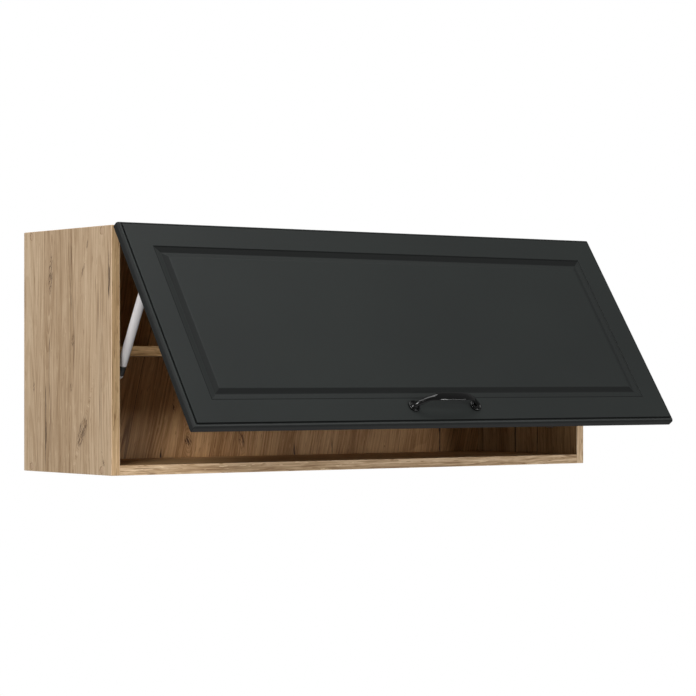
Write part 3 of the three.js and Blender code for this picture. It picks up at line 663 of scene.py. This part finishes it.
# -------------------------------------------------------------------- carcass
FRONT = -DEPTH
TOP = HEIGHT / 2
INNER = WIDTH / 2 - BOARD
screw_y = (FRONT + 30, -30)
screw_z = (TOP - BOARD / 2, -TOP + BOARD / 2)
pin_y = (FRONT + 76 + 34, -46)
PIN_Z = -8


def paint_faces(bm, rule):
    bm.normal_update()
    for f in bm.faces:
        f.material_index = rule(f.normal, f.calc_center_median())


def side_rule(n, c):
    if n.y < -0.2 and abs(n.x) > 0.2:
        return 3
    if n.y < -0.35 or abs(n.z) > 0.6:
        return 1
    if n.x * c.x < 0 and abs(n.x) > 0.6:
        return 4
    return 2 if n.y > 0.6 else 0


for name, s in SIDES:
    bm = cuboid(*side(s, INNER, WIDTH / 2), FRONT, -3, -TOP, TOP, bevel=1.0, seg=3)
    paint_faces(bm, side_rule)
    holes = []
    for y in screw_y:
        for z in screw_z:
            holes.append(rod('x', *side(s, 497.95, 503), y, z, 6.3, 48, mat=2))
            holes.append(rod('x', *side(s, 483, 498.5), y, z, 4.2, 24, mat=2))
    for y in pin_y:
        holes.append(rod('x', *side(s, 480, 493.3), y, PIN_Z - 4.5, 2.6, 24, mat=2))
    bm = carve(bm, holes)
    place('%s_side_board' % name, bm, [OAK_SIDE if s < 0 else OAK_SIDE_R, OAK_EDGE_LEFT_SHADED if s < 0 else OAK_EDGE_RIGHT_LIT, CHIP,
                                       OAK_ARRIS_HIGHLIGHT, OAK_SIDE_INSIDE_PAINTED_SHADE], 'cabinet', ['%s_side_panel' % name], smooth=30)


def long_board(name, node, x, y0, y1, z0, z1, face, edge, bevel=0.6, inside=None):
    bm = cuboid(-x, x, y0, y1, z0, z1, bevel=bevel, seg=3)
    middle = (z0 + z1) / 2

    def rule(n, c):
        if n.y < -0.35:
            return 1
        if n.y > 0.6 or abs(n.x) > 0.6:
            return 2
        return 3 if inside and n.z * middle < -0.6 * abs(middle) else 0
    paint_faces(bm, rule)
    return place(name, bm, [face, edge, CHIP] + ([inside] if inside else []), 'cabinet', [node], smooth=30)


long_board('top_board', 'top_panel', INNER, FRONT, -3, TOP - BOARD, TOP, OAK_LONG, OAK_LONG_EDGE, inside=OAK_LONG_INSIDE_PAINTED_LIGHT)
long_board('floor_board', 'bottom_panel', INNER, FRONT, -3, -TOP, -TOP + BOARD, OAK_LONG, OAK_LONG_EDGE, inside=OAK_LONG_INSIDE_PAINTED_LIGHT)
long_board('shelf_board', 'shelf', INNER - 1, FRONT + 76, -4, -8, 8, OAK_SHELF, OAK_SHELF_EDGE)

bm = cuboid(-WIDTH / 2 + 2, WIDTH / 2 - 2, -3, 0, -TOP + 2, TOP - 2, bevel=0.25, seg=1)
paint_faces(bm, lambda n, c: 0 if n.y < -0.5 else 1)
bm = carve(bm, [cuboid(*side(s, 462, INNER - 1), -5, 2, 150, 182, mat=1) for _, s in SIDES])
place('back_sheet', bm, [OAK_BACK, HARD], 'cabinet', ['back_panel'], smooth=30)

for name, s in SIDES:
    for level, z in (('upper', screw_z[0]), ('lower', screw_z[1])):
        for end, y in (('front', screw_y[0]), ('rear', screw_y[1])):
            prof = [(0, 498.05), (5.7, 498.05), (6.0, 498.3), (6.0, 499.35), (5.6, 499.75), (4.6, 499.9), (0, 499.97)]
            bm = turned(prof, 'x', (0, y, z), 40) if s > 0 else turned([(r, -h) for r, h in prof], 'x', (0, y, z), 40)
            place('cap_%s_%s_%s' % (name, level, end), bm, CAP_PL, 'cabinet',
                  ['cover_cap_%s_%s_%s' % (name, level, end)])
            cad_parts['connector_screw_%s_%s_%s' % (name, level, end)].data.materials.clear()
            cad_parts['connector_screw_%s_%s_%s' % (name, level, end)].data.materials.append(STEEL)

# shelf pins: peg, collar, paddle with a rib under it
for name, s in SIDES:
    for end, y in (('front', pin_y[0]), ('rear', pin_y[1])):
        z = PIN_Z - 4.5
        peg = [(0, 493), (1.9, 493), (2.3, 492.4), (2.3, 483.8), (3.9, 483.8), (4.15, 483.6), (4.15, 482.7),
               (3.9, 482.5), (2.3, 482.5), (2.3, 474.5), (1.9, 474.1), (0, 474.1)]
        if s < 0:
            peg = [(r, -h) for r, h in peg]
        pin = carve(turned(peg, 'x', (0, y, z), 32), [
            cuboid(*side(s, 472, 483.2), y - 5.5, y + 5.5, PIN_Z - 2.3, PIN_Z, bevel=0.5),
            cuboid(*side(s, 472.1, 482.9), y - 1.1, y + 1.1, PIN_Z - 5.4, PIN_Z - 1, bevel=0.3)], 'UNION')
        place('shelf_peg_%s_%s' % (name, end), pin, NICKEL, 'cabinet', ['shelf_pin_%s_%s' % (name, end)])

# wall hangers: moulded housing with its adjusting screws, and the hook
for name, s in SIDES:
    body = cuboid(*side(s, 464, INNER), -50, -3.5, 128, 182, bevel=1.2, seg=3)
    body = carve(body, [
        cuboid(*side(s, 470, 475), -44, 5, 152, 178),
        rod('y', -60, -40, s * 474, 140, 4.6, 32),
        cuboid(*side(s, 466.5, 481.5), -52, -48.6, 150.5, 178.5, bevel=0.4),
        cuboid(*side(s, 466.5, 468), -46, -10, 132, 146, bevel=0.3),
    ])
    place('hanger_body_%s' % name, body, WHITE_PL, 'cabinet', ['hanger_housing_%s' % name])
    screw = turned([(0, -46.0), (3.4, -46.0), (3.9, -46.5), (3.9, -47.6), (3.3, -48.3), (0, -48.5)], 'y',
                   (s * 474, 0, 140), 32)
    screw = carve(screw, cross_recess('y', (s * 474, -48.5, 140), 1.4, 4.4, -1))
    place('hanger_screw_%s' % name, screw, STEEL, 'cabinet')
    hook = outline_plate([(-42, 160), (-4, 160), (-4, 155), (-0.6, 155), (-0.6, 172), (-4, 172), (-4, 176), (-42, 176)],
                         *side(s, 471.2, 473.8), bevel=0.35)
    place('hanger_claw_%s' % name, hook, STEEL, 'cabinet', ['hanger_hook_%s' % name])

# ----------------------------------------------------------------------- door
# Front: (inset from the outer edge, height over the back face, corner radius).
profile = [
    (0.35, 0.0, 1.2), (0.0, 0.35, 1.5), (0.0, 4.0, 1.5), (0.0, 8.5, 1.5),
    (0.14, 10.0, 1.5), (0.55, 11.4, 1.5), (1.25, 12.7, 1.5), (2.2, 13.75, 1.4), (3.4, 14.45, 1.3),
    (3.9, 14.6, 1.1), (4.3, 14.55, 1.0), (4.6, 14.3, 1.0), (4.8, 13.8, 0.9), (5.0, 13.4, 0.9), (5.3, 13.2, 0.9),
    (6.3, 13.15, 0.9), (6.62, 13.25, 0.9), (6.75, 13.7, 0.9), (6.8, 15.5, 0.9), (6.95, 15.88, 0.9),
    (7.3, 16.0, 0.9), (12.0, 16.0, 0.9),
    (44.0, 16.0, 0.8), (49.2, 16.0, 0.8), (49.55, 15.9, 0.8), (49.7, 15.6, 0.8), (49.8, 15.1, 0.8),
    (49.95, 14.78, 0.8), (50.4, 14.65, 0.8), (51.6, 14.58, 0.8), (53.2, 14.4, 0.8), (55.2, 14.08, 0.8), (57.2, 13.7, 0.8),
    (58.8, 13.36, 0.8), (60.0, 13.12, 0.8), (61.2, 13.02, 0.8), (62.4, 13.12, 0.8), (63.6, 13.4, 0.8),
    (65.4, 14.0, 0.8), (67.2, 14.65, 0.8), (68.8, 15.25, 0.8), (70.0, 15.65, 0.8), (70.9, 15.9, 0.8),
    (71.8, 16.0, 0.8), (74.0, 16.0, 0.8), (80.0, 16.0, 0.8),
]
bm = bmesh.new()
CORNER = 5
rows = []
for inset, n, r in profile:
    w, lo, hi = DOOR_W / 2 - inset, -DOOR_H + inset, -inset
    ring = []
    for cx, cz, a0 in ((w - r, hi - r, 0), (-w + r, hi - r, 90), (-w + r, lo + r, 180), (w - r, lo + r, 270)):
        for k in range(CORNER):
            a = rad(a0 + 90 * k / (CORNER - 1))
            ring.append(bm.verts.new((cx + r * math.cos(a), -n, cz + r * math.sin(a))))
    rows.append(ring)
count = len(rows[0])
for a, b in zip(rows, rows[1:]):
    for i in range(count):
        j = (i + 1) % count
        bm.faces.new((a[i], a[j], b[j], b[i]))
bm.faces.new(rows[0])
bm.faces.new(rows[-1])
bmesh.ops.recalc_face_normals(bm, faces=bm.faces)
cutters = []
for _, s in SIDES:
    cutters.append(rod('y', -12.2, 2, s * CUP_X, -CUP_U, 17.8, 96, mat=1))
    cutters.append(rod('y', -DOOR_T - 2, 2, s * HANDLE_HALF, -HANDLE_U, 2.4, 24, mat=1))
bm = carve(bm, cutters)
place('routed_front', bm, [GRAPHITE, MDF], 'door', ['door_front'], DOOR, smooth=38)


# Bow handle, one casting: stepped round feet, legs that curve over into a grip
# which widens and flattens towards the middle.
def catmull(points, per):
    out = []
    n = len(points)
    for i in range(n - 1):
        p0, p1, p2, p3 = points[max(i - 1, 0)], points[i], points[i + 1], points[min(i + 2, n - 1)]
        for k in range(per):
            t = k / per
            out.append(tuple(0.5 * (2 * b + (c - a) * t + (2 * a - 5 * b + 4 * c - d) * t * t
                                    + (3 * b - a - 3 * c + d) * t ** 3) for a, b, c, d in zip(p0, p1, p2, p3)))
    out.append(tuple(points[-1]))
    return out


H = HANDLE_HALF
spine = [
    (H, 2.6, 4.6, 4.6), (H - 1.4, 5.6, 4.6, 4.5), (H - 4.4, 9.0, 4.5, 4.2), (H - 8.8, 13.0, 4.5, 3.9),
    (H - 13.4, 17.2, 4.6, 3.6), (H - 18, 20.8, 4.8, 3.3), (H - 23.5, 23.7, 5.3, 3.0), (H - 29.5, 25.7, 6.5, 2.7),
    (H - 36, 27.1, 7.5, 2.5), (H - 47, 28.1, 8.0, 2.4), (0, 28.5, 8.1, 2.4),
]
run = [(-x, h, a, b) for x, h, a, b in spine] + spine[-2::-1]
fine = catmull(run, 5)
bm = bmesh.new()
rows = []
SEG = 28
for i, (x, h, a, b) in enumerate(fine):
    p, q = fine[max(i - 1, 0)], fine[min(i + 1, len(fine) - 1)]
    tx, th = q[0] - p[0], q[1] - p[1]
    l = math.hypot(tx, th)
    tx, th = tx / l, th / l
    ring = []
    for k in range(SEG):
        t = 2 * math.pi * k / SEG
        w, v = a * math.cos(t), b * math.sin(t)
        ring.append(bm.verts.new((x - th * v, -(DOOR_T + 0.3 + h + tx * v), -HANDLE_U + w)))
    rows.append(ring)
for a, b in zip(rows, rows[1:]):
    for i in range(SEG):
        j = (i + 1) % SEG
        bm.faces.new((a[i], a[j], b[j], b[i]))
bm.faces.new(rows[0])
bm.faces.new(rows[-1])
bmesh.ops.recalc_face_normals(bm, faces=bm.faces)
foot = [(0, 0), (10.2, 0), (10.5, 0.3), (10.55, 1.4), (10.35, 2.2), (9.9, 2.85), (9.3, 3.2), (8.6, 3.3), (8.0, 3.05),
        (7.55, 2.75), (7.15, 2.85), (6.85, 3.4), (6.4, 3.9), (5.8, 4.35), (5.3, 5.0), (5.0, 5.8), (4.85, 6.6),
        (4.6, 7.05), (0, 7.2)]
feet = []
for s in (-1, 1):
    f = turned([(r, -(DOOR_T + 0.3 + h)) for r, h in foot], 'y', (s * H, 0, -HANDLE_U), 56)
    feet.append(f)
bm = carve(bm, feet, 'UNION')
bm = carve(bm, [rod('y', -DOOR_T - 6.8, -DOOR_T, s * H, -HANDLE_U, 2.4, 24) for _, s in SIDES])
place('bow_handle', bm, BLACK, 'door', ['handle'], DOOR, smooth=42, weighted=False)

for name, s in SIDES:
    head = [(0, 0.31), (3.85, 0.31), (3.9, 0.45), (3.85, 0.9), (3.4, 1.7), (2.5, 2.25), (1.4, 2.45), (0, 2.48)]
    screw = turned(head, 'y', (s * H, 0, -HANDLE_U), 40)
    screw = carve(screw, cross_recess('y', (s * H, 2.5, -HANDLE_U), 1.3, 4.2, 1))
    shank = rod('y', -DOOR_T - 6.2, 0.4, s * H, -HANDLE_U, 2.0, 24, 0.3)
    place('handle_bolt_%s' % name, merge(screw, shank), STEEL, 'door', ['handle_screw_%s' % name], DOOR)

# --------------------------------------------------------------------- hinges
for name, s in SIDES:
    cx = s * CUP_X
    # cup: pressed bowl with a rolled rim, and the flange it is screwed on by
    bowl = [(17.45, -0.4), (17.5, -0.7), (17.5, -10.6), (16.9, -11.5), (15.6, -11.8), (0.01, -11.8), (0.01, -10.9),
            (15.2, -10.9), (16.0, -10.2), (16.2, -9.4), (16.2, 0.9), (16.5, 1.15), (17.1, 1.2), (17.4, 0.9)]
    cup = turned(bowl, 'y', (cx, 0, -CUP_U), 72)
    wing = cuboid(cx - 26, cx + 26, 0.32, 1.25, -34.4, -15.6, bevel=0.3)
    wing = carve(wing, [rod('y', -1, 3, cx, -CUP_U, 16.4, 72)]
                 + [cuboid(cx + q * 26 - 2.6, cx + q * 26 + 2.6, -1, 3, -36, -31.5) for q in (-1, 1)]
                 + [cuboid(cx + q * 26 - 2.6, cx + q * 26 + 2.6, -1, 3, -18.5, -14) for q in (-1, 1)])
    # the rim is open at the top, where the arm comes out
    cup = carve(cup, [cuboid(cx - 7.6, cx + 7.6, -3.4, 3, -8.5, 5), cuboid(cx - 20, cx + 20, -0.3, 3, -12, 5)])
    pin = rod('x', cx - 16.3, cx + 16.3, CUP_PIN[0], CUP_PIN[1], 1.8, 24, 0.25)
    heads = []
    for q in (-1, 1):
        h = turned([(0, 1.1), (3.0, 1.1), (3.3, 1.25), (3.2, 1.6), (2.3, 2.0), (0, 2.15)][:6], 'y',
                   (cx + q * 21.5, -0.75, -CUP_U - 4), 32)
        heads.append(carve(h, cross_recess('y', (cx + q * 21.5, 1.42, -CUP_U - 4), 0.7, 3.6, 1)))
    place('cup_%s' % name, merge(cup, wing, pin, *heads), NICKEL, 'door', ['hinge_cup_%s' % name], DOOR,
          smooth=30)

    # mounting plate with its wings and the arm that clips over it
    under = TOP - BOARD
    wings = cuboid(cx - 25, cx + 25, -257, -245, under - 1.9, under - 0.05, bevel=0.5)
    rail = cuboid(cx - 5, cx + 5, -267, -233, under - 11.9, under - 0.1, bevel=0.6)
    plate = carve(wings, [rail], 'UNION')
    plate = carve(plate, [cuboid(cx - 2.6, cx + 2.6, -262, -238, under - 13, under - 10.4, bevel=0.3)])
    heads = []
    for q in (-1, 1):
        h = turned([(0, under - 1.7), (3.5, under - 1.7), (3.6, under - 2.1), (3.0, under - 3.1), (1.8, under - 3.4),
                    (0, under - 3.45)], 'z', (cx + q * 18, -251, 0), 32)
        heads.append(carve(h, cross_recess('z', (cx + q * 18, -251, under - 3.45), 1.0, 4.2, -1)))
    place('mount_plate_%s' % name, merge(plate, *heads), NICKEL, 'cabinet', ['hinge_plate_%s' % name],
          smooth=30)

    py, pz = PIVOT
    cheek = [(py - 2.6, pz - 3.4), (py + 1.0, pz - 4.2), (py + 7, 168.2), (-229.6, 168.2), (-228, 168.9), (-227.3, 170),
             (-227.3, 178), (-228, 179.2), (-229.4, 179.8), (py + 6, 179.8), (py + 1.5, pz + 5.2), (py - 2.0, pz + 4.2),
             (py - 3.7, pz + 2.2), (py - 4.1, pz), (py - 3.7, pz - 2.2)]
    arm = merge(outline_plate(cheek, cx - 6.8, cx - 5.35, 0.25), outline_plate(cheek, cx + 5.35, cx + 6.8, 0.25))
    web = cuboid(cx - 6.7, cx + 6.7, -267.5, -227.6, 168.05, 169.5, bevel=0.35)
    slot = [rod('z', 160, 175, cx, -238, 2.6, 24), rod('z', 160, 175, cx, -233.5, 2.6, 24),
            cuboid(cx - 2.6, cx + 2.6, -238, -233.5, 160, 175), rod('z', 160, 175, cx, -256, 2.8, 24)]
    web = carve(web, slot)
    knuckle = rod('x', cx - 6.5, cx + 6.5, py, pz, 1.8, 24, 0.25)
    set_screws = []
    for y, r in ((-256, 2.5), (-236, 2.3)):
        h = turned([(0, 169.8), (r, 169.8), (r, 168.4), (r - 0.4, 168.06), (0, 168.03)], 'z', (cx, y, 0), 24)
        set_screws.append(carve(h, cross_recess('z', (cx, y, 168.05), 0.7, r * 1.3, -1)))
    place('arm_%s' % name, merge(arm, web, knuckle, *set_screws), NICKEL, 'cabinet',
          ['hinge_arm_%s' % name], smooth=30)

    outer = []
    for x0, x1 in ((cx - 4.8, cx - 3.0), (cx + 3.0, cx + 4.8)):
        link = outline_plate(round_link((0, 0), CUP_PIN, 3.55), x0, x1, 0.25)
        outer.append(carve(link, [rod('x', x0 - 1, x1 + 1, 0, 0, 2.25, 24)]))
    outer.append(rod('x', cx - 4.5, cx + 4.5, CUP_PIN[0], CUP_PIN[1], 1.8, 24, 0.2))
    place('link_outer_%s' % name, merge(*outer), NICKEL, 'outer_link_%s' % name,
          ['hinge_outer_link_%s' % name], OUTER, smooth=30)
    inner = outline_plate(round_link((0, 0), KNEE, 3.55), cx - 2.55, cx + 2.55, 0.3)
    inner = carve(inner, [rod('x', cx - 4, cx + 4, 0, 0, 2.25, 24), rod('x', cx - 4, cx + 4, KNEE[0], KNEE[1], 2.25, 24),
                          cuboid(cx - 1.2, cx + 1.2, -10, 24, -30, -22.5 + 6)])
    place('link_inner_%s' % name, inner, NICKEL, 'inner_link_%s' % name, ['hinge_inner_link_%s' % name],
          Matrix.Translation((0, PIN[0] * MM, PIN[1] * MM)), smooth=30)

# ----------------------------------------------------------------- gas struts
for name, s in SIDES:
    bx = s * STRUT_X
    tube_body, rod_body = 'strut_tube_%s' % name, 'strut_piston_%s' % name

    # bracket on the door back: base, ear, stud and ball
    base = cuboid(*side(s, 446, 478), 0.32, 2.25, -STRUT_R - 20, -STRUT_R + 20, bevel=0.5)
    ear = outline_plate([(0.4, -STRUT_R - 12), (4, -STRUT_R - 10.6), (STRUT_OFF, -STRUT_R - 6.4),
                         (STRUT_OFF + 3.6, -STRUT_R - 5.2), (STRUT_OFF + 5.4, -STRUT_R - 3.0),
                         (STRUT_OFF + 5.4, -STRUT_R + 3.0), (STRUT_OFF + 3.6, -STRUT_R + 5.2),
                         (STRUT_OFF, -STRUT_R + 6.4), (4, -STRUT_R + 10.6), (0.4, -STRUT_R + 12)],
                        *side(s, 476.05, 477.95), bevel=0.4)
    stud = [(0, 478.0), (2.2, 478.0), (2.4, 477.4), (2.4, 470.2), (2.2, 469.8)]
    for k in range(1, 12):
        t = math.pi * (0.19 + 0.81 * k / 11)
        stud.append((4.0 * math.sin(t), 466 + 4.0 * math.cos(t)))
    stud[-1] = (0, 462.0)
    stud = [(r, s * h) for r, h in stud]
    stud = turned(stud, 'x', (0, STRUT_OFF, -STRUT_R), 32)
    bracket = carve(base, [ear, stud], 'UNION')
    heads = []
    for q in (-1, 1):
        h = turned([(0, 2.0), (3.4, 2.0), (3.6, 2.4), (3.2, 3.2), (2.2, 3.75), (0, 3.85)], 'y',
                   (s * 455, 0, -STRUT_R + q * 13), 32)
        heads.append(carve(h, cross_recess('y', (s * 455, 3.85, -STRUT_R + q * 13), 1.1, 4.0, 1)))
    place('door_bracket_%s' % name, merge(bracket, *heads), STEEL, 'door', ['strut_door_bracket_%s' % name],
          DOOR, smooth=30)

    # socket that snaps on the ball, with the slots for its wire clip
    lo, hi = side(s, 459.5, 473)
    shell = turned([(0, lo), (6.2, lo), (6.9, lo + 0.7), (7.0, lo + 1.5), (7.0, hi - 1.5), (6.9, hi - 0.7),
                    (6.2, hi), (0, hi)], 'x', (0, 0, 0), 48)
    neck = turned([(0, -15.65), (5.0, -15.65), (5.2, -15.3), (5.2, -11.0), (4.6, -9.0), (4.6, -4), (0, -4)], 'z',
                  (bx, 0, 0), 40)
    shell = carve(shell, [neck], 'UNION')
    bore = side(s, 461.8, 475)
    shell = carve(shell, [rod('x', *bore, 0, 0, 4.5, 40), cuboid(*side(s, 465.2, 466.8), 4.8, 8, -8, 8),
                          cuboid(*side(s, 465.2, 466.8), -8, -4.8, -8, 8)])
    place('upper_joint_%s' % name, shell, BLACK_PL, tube_body, ['strut_upper_socket_%s' % name],
          STRUT, smooth=32)

    tube = [(6.3, -19.0), (6.3, -149.7), (6.6, -150.15), (7.2, -150.15), (7.45, -149.8), (7.5, -149.2), (7.5, -146.3),
            (7.42, -146.0), (7.2, -145.6), (7.2, -145.2), (7.42, -144.8), (7.5, -144.5), (7.5, -18.4), (7.2, -17.2),
            (6.5, -16.4), (5.6, -16.05), (0.01, -16.0), (0.01, -18.9), (5.6, -18.9)]
    place('cylinder_%s' % name, turned(tube, 'z', (bx, 0, 0), 64), GREY, tube_body,
          ['strut_cylinder_%s' % name], STRUT, smooth=30)

    collar = [(4.6, -150.55), (6.9, -150.55), (7.3, -150.85), (7.38, -151.5), (7.38, -153.6), (7.1, -153.9),
              (7.1, -154.5), (7.36, -154.8), (7.32, -164.4), (7.1, -166.2), (6.6, -167.05), (6.0, -167.35),
              (4.6, -167.35)]
    place('end_collar_%s' % name, turned(collar, 'z', (bx, 0, 0), 56), BLACK_PL, tube_body,
          ['strut_end_cap_%s' % name], STRUT, smooth=32)

    lip = [(4.6, -167.75), (5.9, -167.75), (6.35, -168.1), (6.4, -169.3), (6.3, -170.5), (5.9, -171.3), (5.3, -171.9),
           (4.9, -171.98), (4.6, -171.7)]
    place('wiper_%s' % name, turned(lip, 'z', (bx, 0, 0), 48), LIGHT_PL, tube_body,
          ['strut_wiper_ring_%s' % name], STRUT, smooth=40)

    piston = [(0, -243), (3.6, -243), (4.0, -242.5), (4.0, -83.5), (3.6, -83), (0, -83)]
    place('piston_rod_%s' % name, turned(piston, 'z', (bx, 0, 0), 40), CHROME, rod_body,
          ['strut_rod_%s' % name], STRUT, smooth=32)

    shell = turned([(0, lo), (6.2, lo), (6.9, lo + 0.7), (7.0, lo + 1.5), (7.0, hi - 1.5), (6.9, hi - 0.7),
                    (6.2, hi), (0, hi)], 'x', (0, 0, -STRUT_LEN), 48)
    neck = turned([(0, -243.35), (4.9, -243.35), (5.2, -243.7), (5.2, -246.5), (4.8, -248.5), (4.8, -251), (0, -251)],
                  'z', (bx, 0, 0), 40)
    shell = carve(shell, [neck], 'UNION')
    shell = carve(shell, [cuboid(*side(s, 465.2, 466.8), 4.8, 8, -STRUT_LEN - 8, -STRUT_LEN + 8),
                          cuboid(*side(s, 465.2, 466.8), -8, -4.8, -STRUT_LEN - 8, -STRUT_LEN + 8)])
    place('lower_joint_%s' % name, shell, BLACK_PL, rod_body, ['strut_lower_socket_%s' % name],
          STRUT, smooth=32)

    # bracket on the side panel
    fy, fz = FOOT
    plate = cuboid(*side(s, INNER - 2, INNER - 0.03), fy - 9, fy + 9, fz - 22, fz + 22, bevel=0.5)
    stud = [(0, 473.45), (2.3, 473.45), (2.8, 473.9), (2.8, 479.4), (5.2, 479.8), (5.5, 480.2), (5.5, 482.4), (0, 482.4)]
    stud = turned([(r, s * h) for r, h in stud], 'x', (0, fy, fz), 40)
    plate = carve(plate, [stud], 'UNION')
    heads = []
    for q in (-1, 1):
        prof = [(0, 482.1), (3.3, 482.1), (3.4, 481.8), (3.0, 480.9), (2.0, 480.3), (0, 480.22)]
        h = turned([(r, s * hh) for r, hh in prof], 'x', (0, fy, fz + q * 15), 32)
        heads.append(carve(h, cross_recess('x', (s * 480.22, fy, fz + q * 15), 1.0, 3.8, -s)))
    place('side_bracket_%s' % name, merge(plate, *heads), STEEL, 'cabinet',
          ['strut_cabinet_bracket_%s' % name], smooth=30)

# ------------------------------------------------------- floor, light, camera
SKY = 0.23
LIGHTS = (35, 36, 58, 94, 30, 8)
FLOOR_Z = -3.0
s = Shader('pale_floor')
soft = s.noise(s.coord, 1.2, 2.0, 0.5)
s.done(s.ramp(soft, [(0.3, (0.80, 0.80, 0.80, 1)), (0.7, (0.82, 0.82, 0.82, 1))]), 0.9, Specular_IOR_Level=0.0)
# white to the eye, an ordinary pale floor to the light
glow = s.add('ShaderNodeEmission')
seen = s.add('ShaderNodeMixShader')
s.link(s.add('ShaderNodeLightPath').outputs['Is Camera Ray'], seen.inputs[0])
s.link(s.bsdf.outputs[0], seen.inputs[1])
s.link(glow.outputs[0], seen.inputs[2])
s.link(seen.outputs[0], s.out.inputs[0])
bm = bmesh.new()
bmesh.ops.create_grid(bm, x_segments=1, y_segments=1, size=60)
bm.transform(Matrix.Translation((0, 0, FLOOR_Z)))
me = bpy.data.meshes.new('floor')
bm.to_mesh(me)
bm.free()
me.materials.append(s.mat)
floor = bpy.data.objects.new('floor', me)
bpy.context.scene.collection.objects.link(floor)

world = bpy.data.worlds.new('studio')
bpy.context.scene.world = world
world.use_nodes = True
wt = world.node_tree
wt.nodes.clear()
w_out = wt.nodes.new('ShaderNodeOutputWorld')
w_mix = wt.nodes.new('ShaderNodeMixShader')
w_path = wt.nodes.new('ShaderNodeLightPath')
w_soft = wt.nodes.new('ShaderNodeBackground')
w_back = wt.nodes.new('ShaderNodeBackground')
w_soft.inputs[0].default_value = (1, 1, 1, 1)
w_soft.inputs[1].default_value = SKY
w_back.inputs[0].default_value = (1, 1, 1, 1)
w_back.inputs[1].default_value = 1.0
wt.links.new(w_path.outputs['Is Camera Ray'], w_mix.inputs[0])
wt.links.new(w_soft.outputs[0], w_mix.inputs[1])
wt.links.new(w_back.outputs[0], w_mix.inputs[2])
wt.links.new(w_mix.outputs[0], w_out.inputs[0])


def area(name, at, target, size, power, shape='RECTANGLE', size_y=None):
    if power <= 0:
        return
    d = bpy.data.lights.new(name, 'AREA')
    d.shape = shape
    d.size = size
    if size_y:
        d.size_y = size_y
    d.energy = power
    o = bpy.data.objects.new(name, d)
    bpy.context.scene.collection.objects.link(o)
    o.location = at
    o.rotation_euler = (Vector(target) - Vector(at)).to_track_quat('-Z', 'Y').to_euler()
    return o


area('left', (-3.4, 0.5, 1.0), (-0.5, -0.14, 0), 2.2, LIGHTS[0], size_y=2.0)
area('low_strip', (2.45, -4.1, -0.17), (0, 0, -0.15), 2.2, LIGHTS[1], size_y=0.36)
area('overhead', (-0.25, -0.9, 3.2), (0, -0.3, 0), 2.6, LIGHTS[2], size_y=2.0)
area('front_left', (-3.4, -3.2, 1.5), (-0.2, -0.2, 0), 1.1, LIGHTS[3], size_y=1.0)
area('low_left', (-3.2, -2.9, -0.15), (-0.1, 0, -0.16), 1.4, LIGHTS[5], size_y=0.3)
area('front_right', (1.8, -4.2, 0.5), (0, -0.25, -0.1), 1.0, LIGHTS[4], size_y=0.6)

cam = bpy.data.cameras.new('camera')
cam.sensor_width = 36.0
cam.lens = 131.6
cam.shift_y = 0.03835
cam.clip_end = 200
camera = bpy.data.objects.new('camera', cam)
bpy.context.scene.collection.objects.link(camera)
camera.location = (-2.5936, -3.7765, -0.0388)
camera.rotation_euler = (rad(90), 0, rad(-36.28))
bpy.context.scene.camera = camera
bpy.context.scene.view_settings.view_transform = 'Standard'
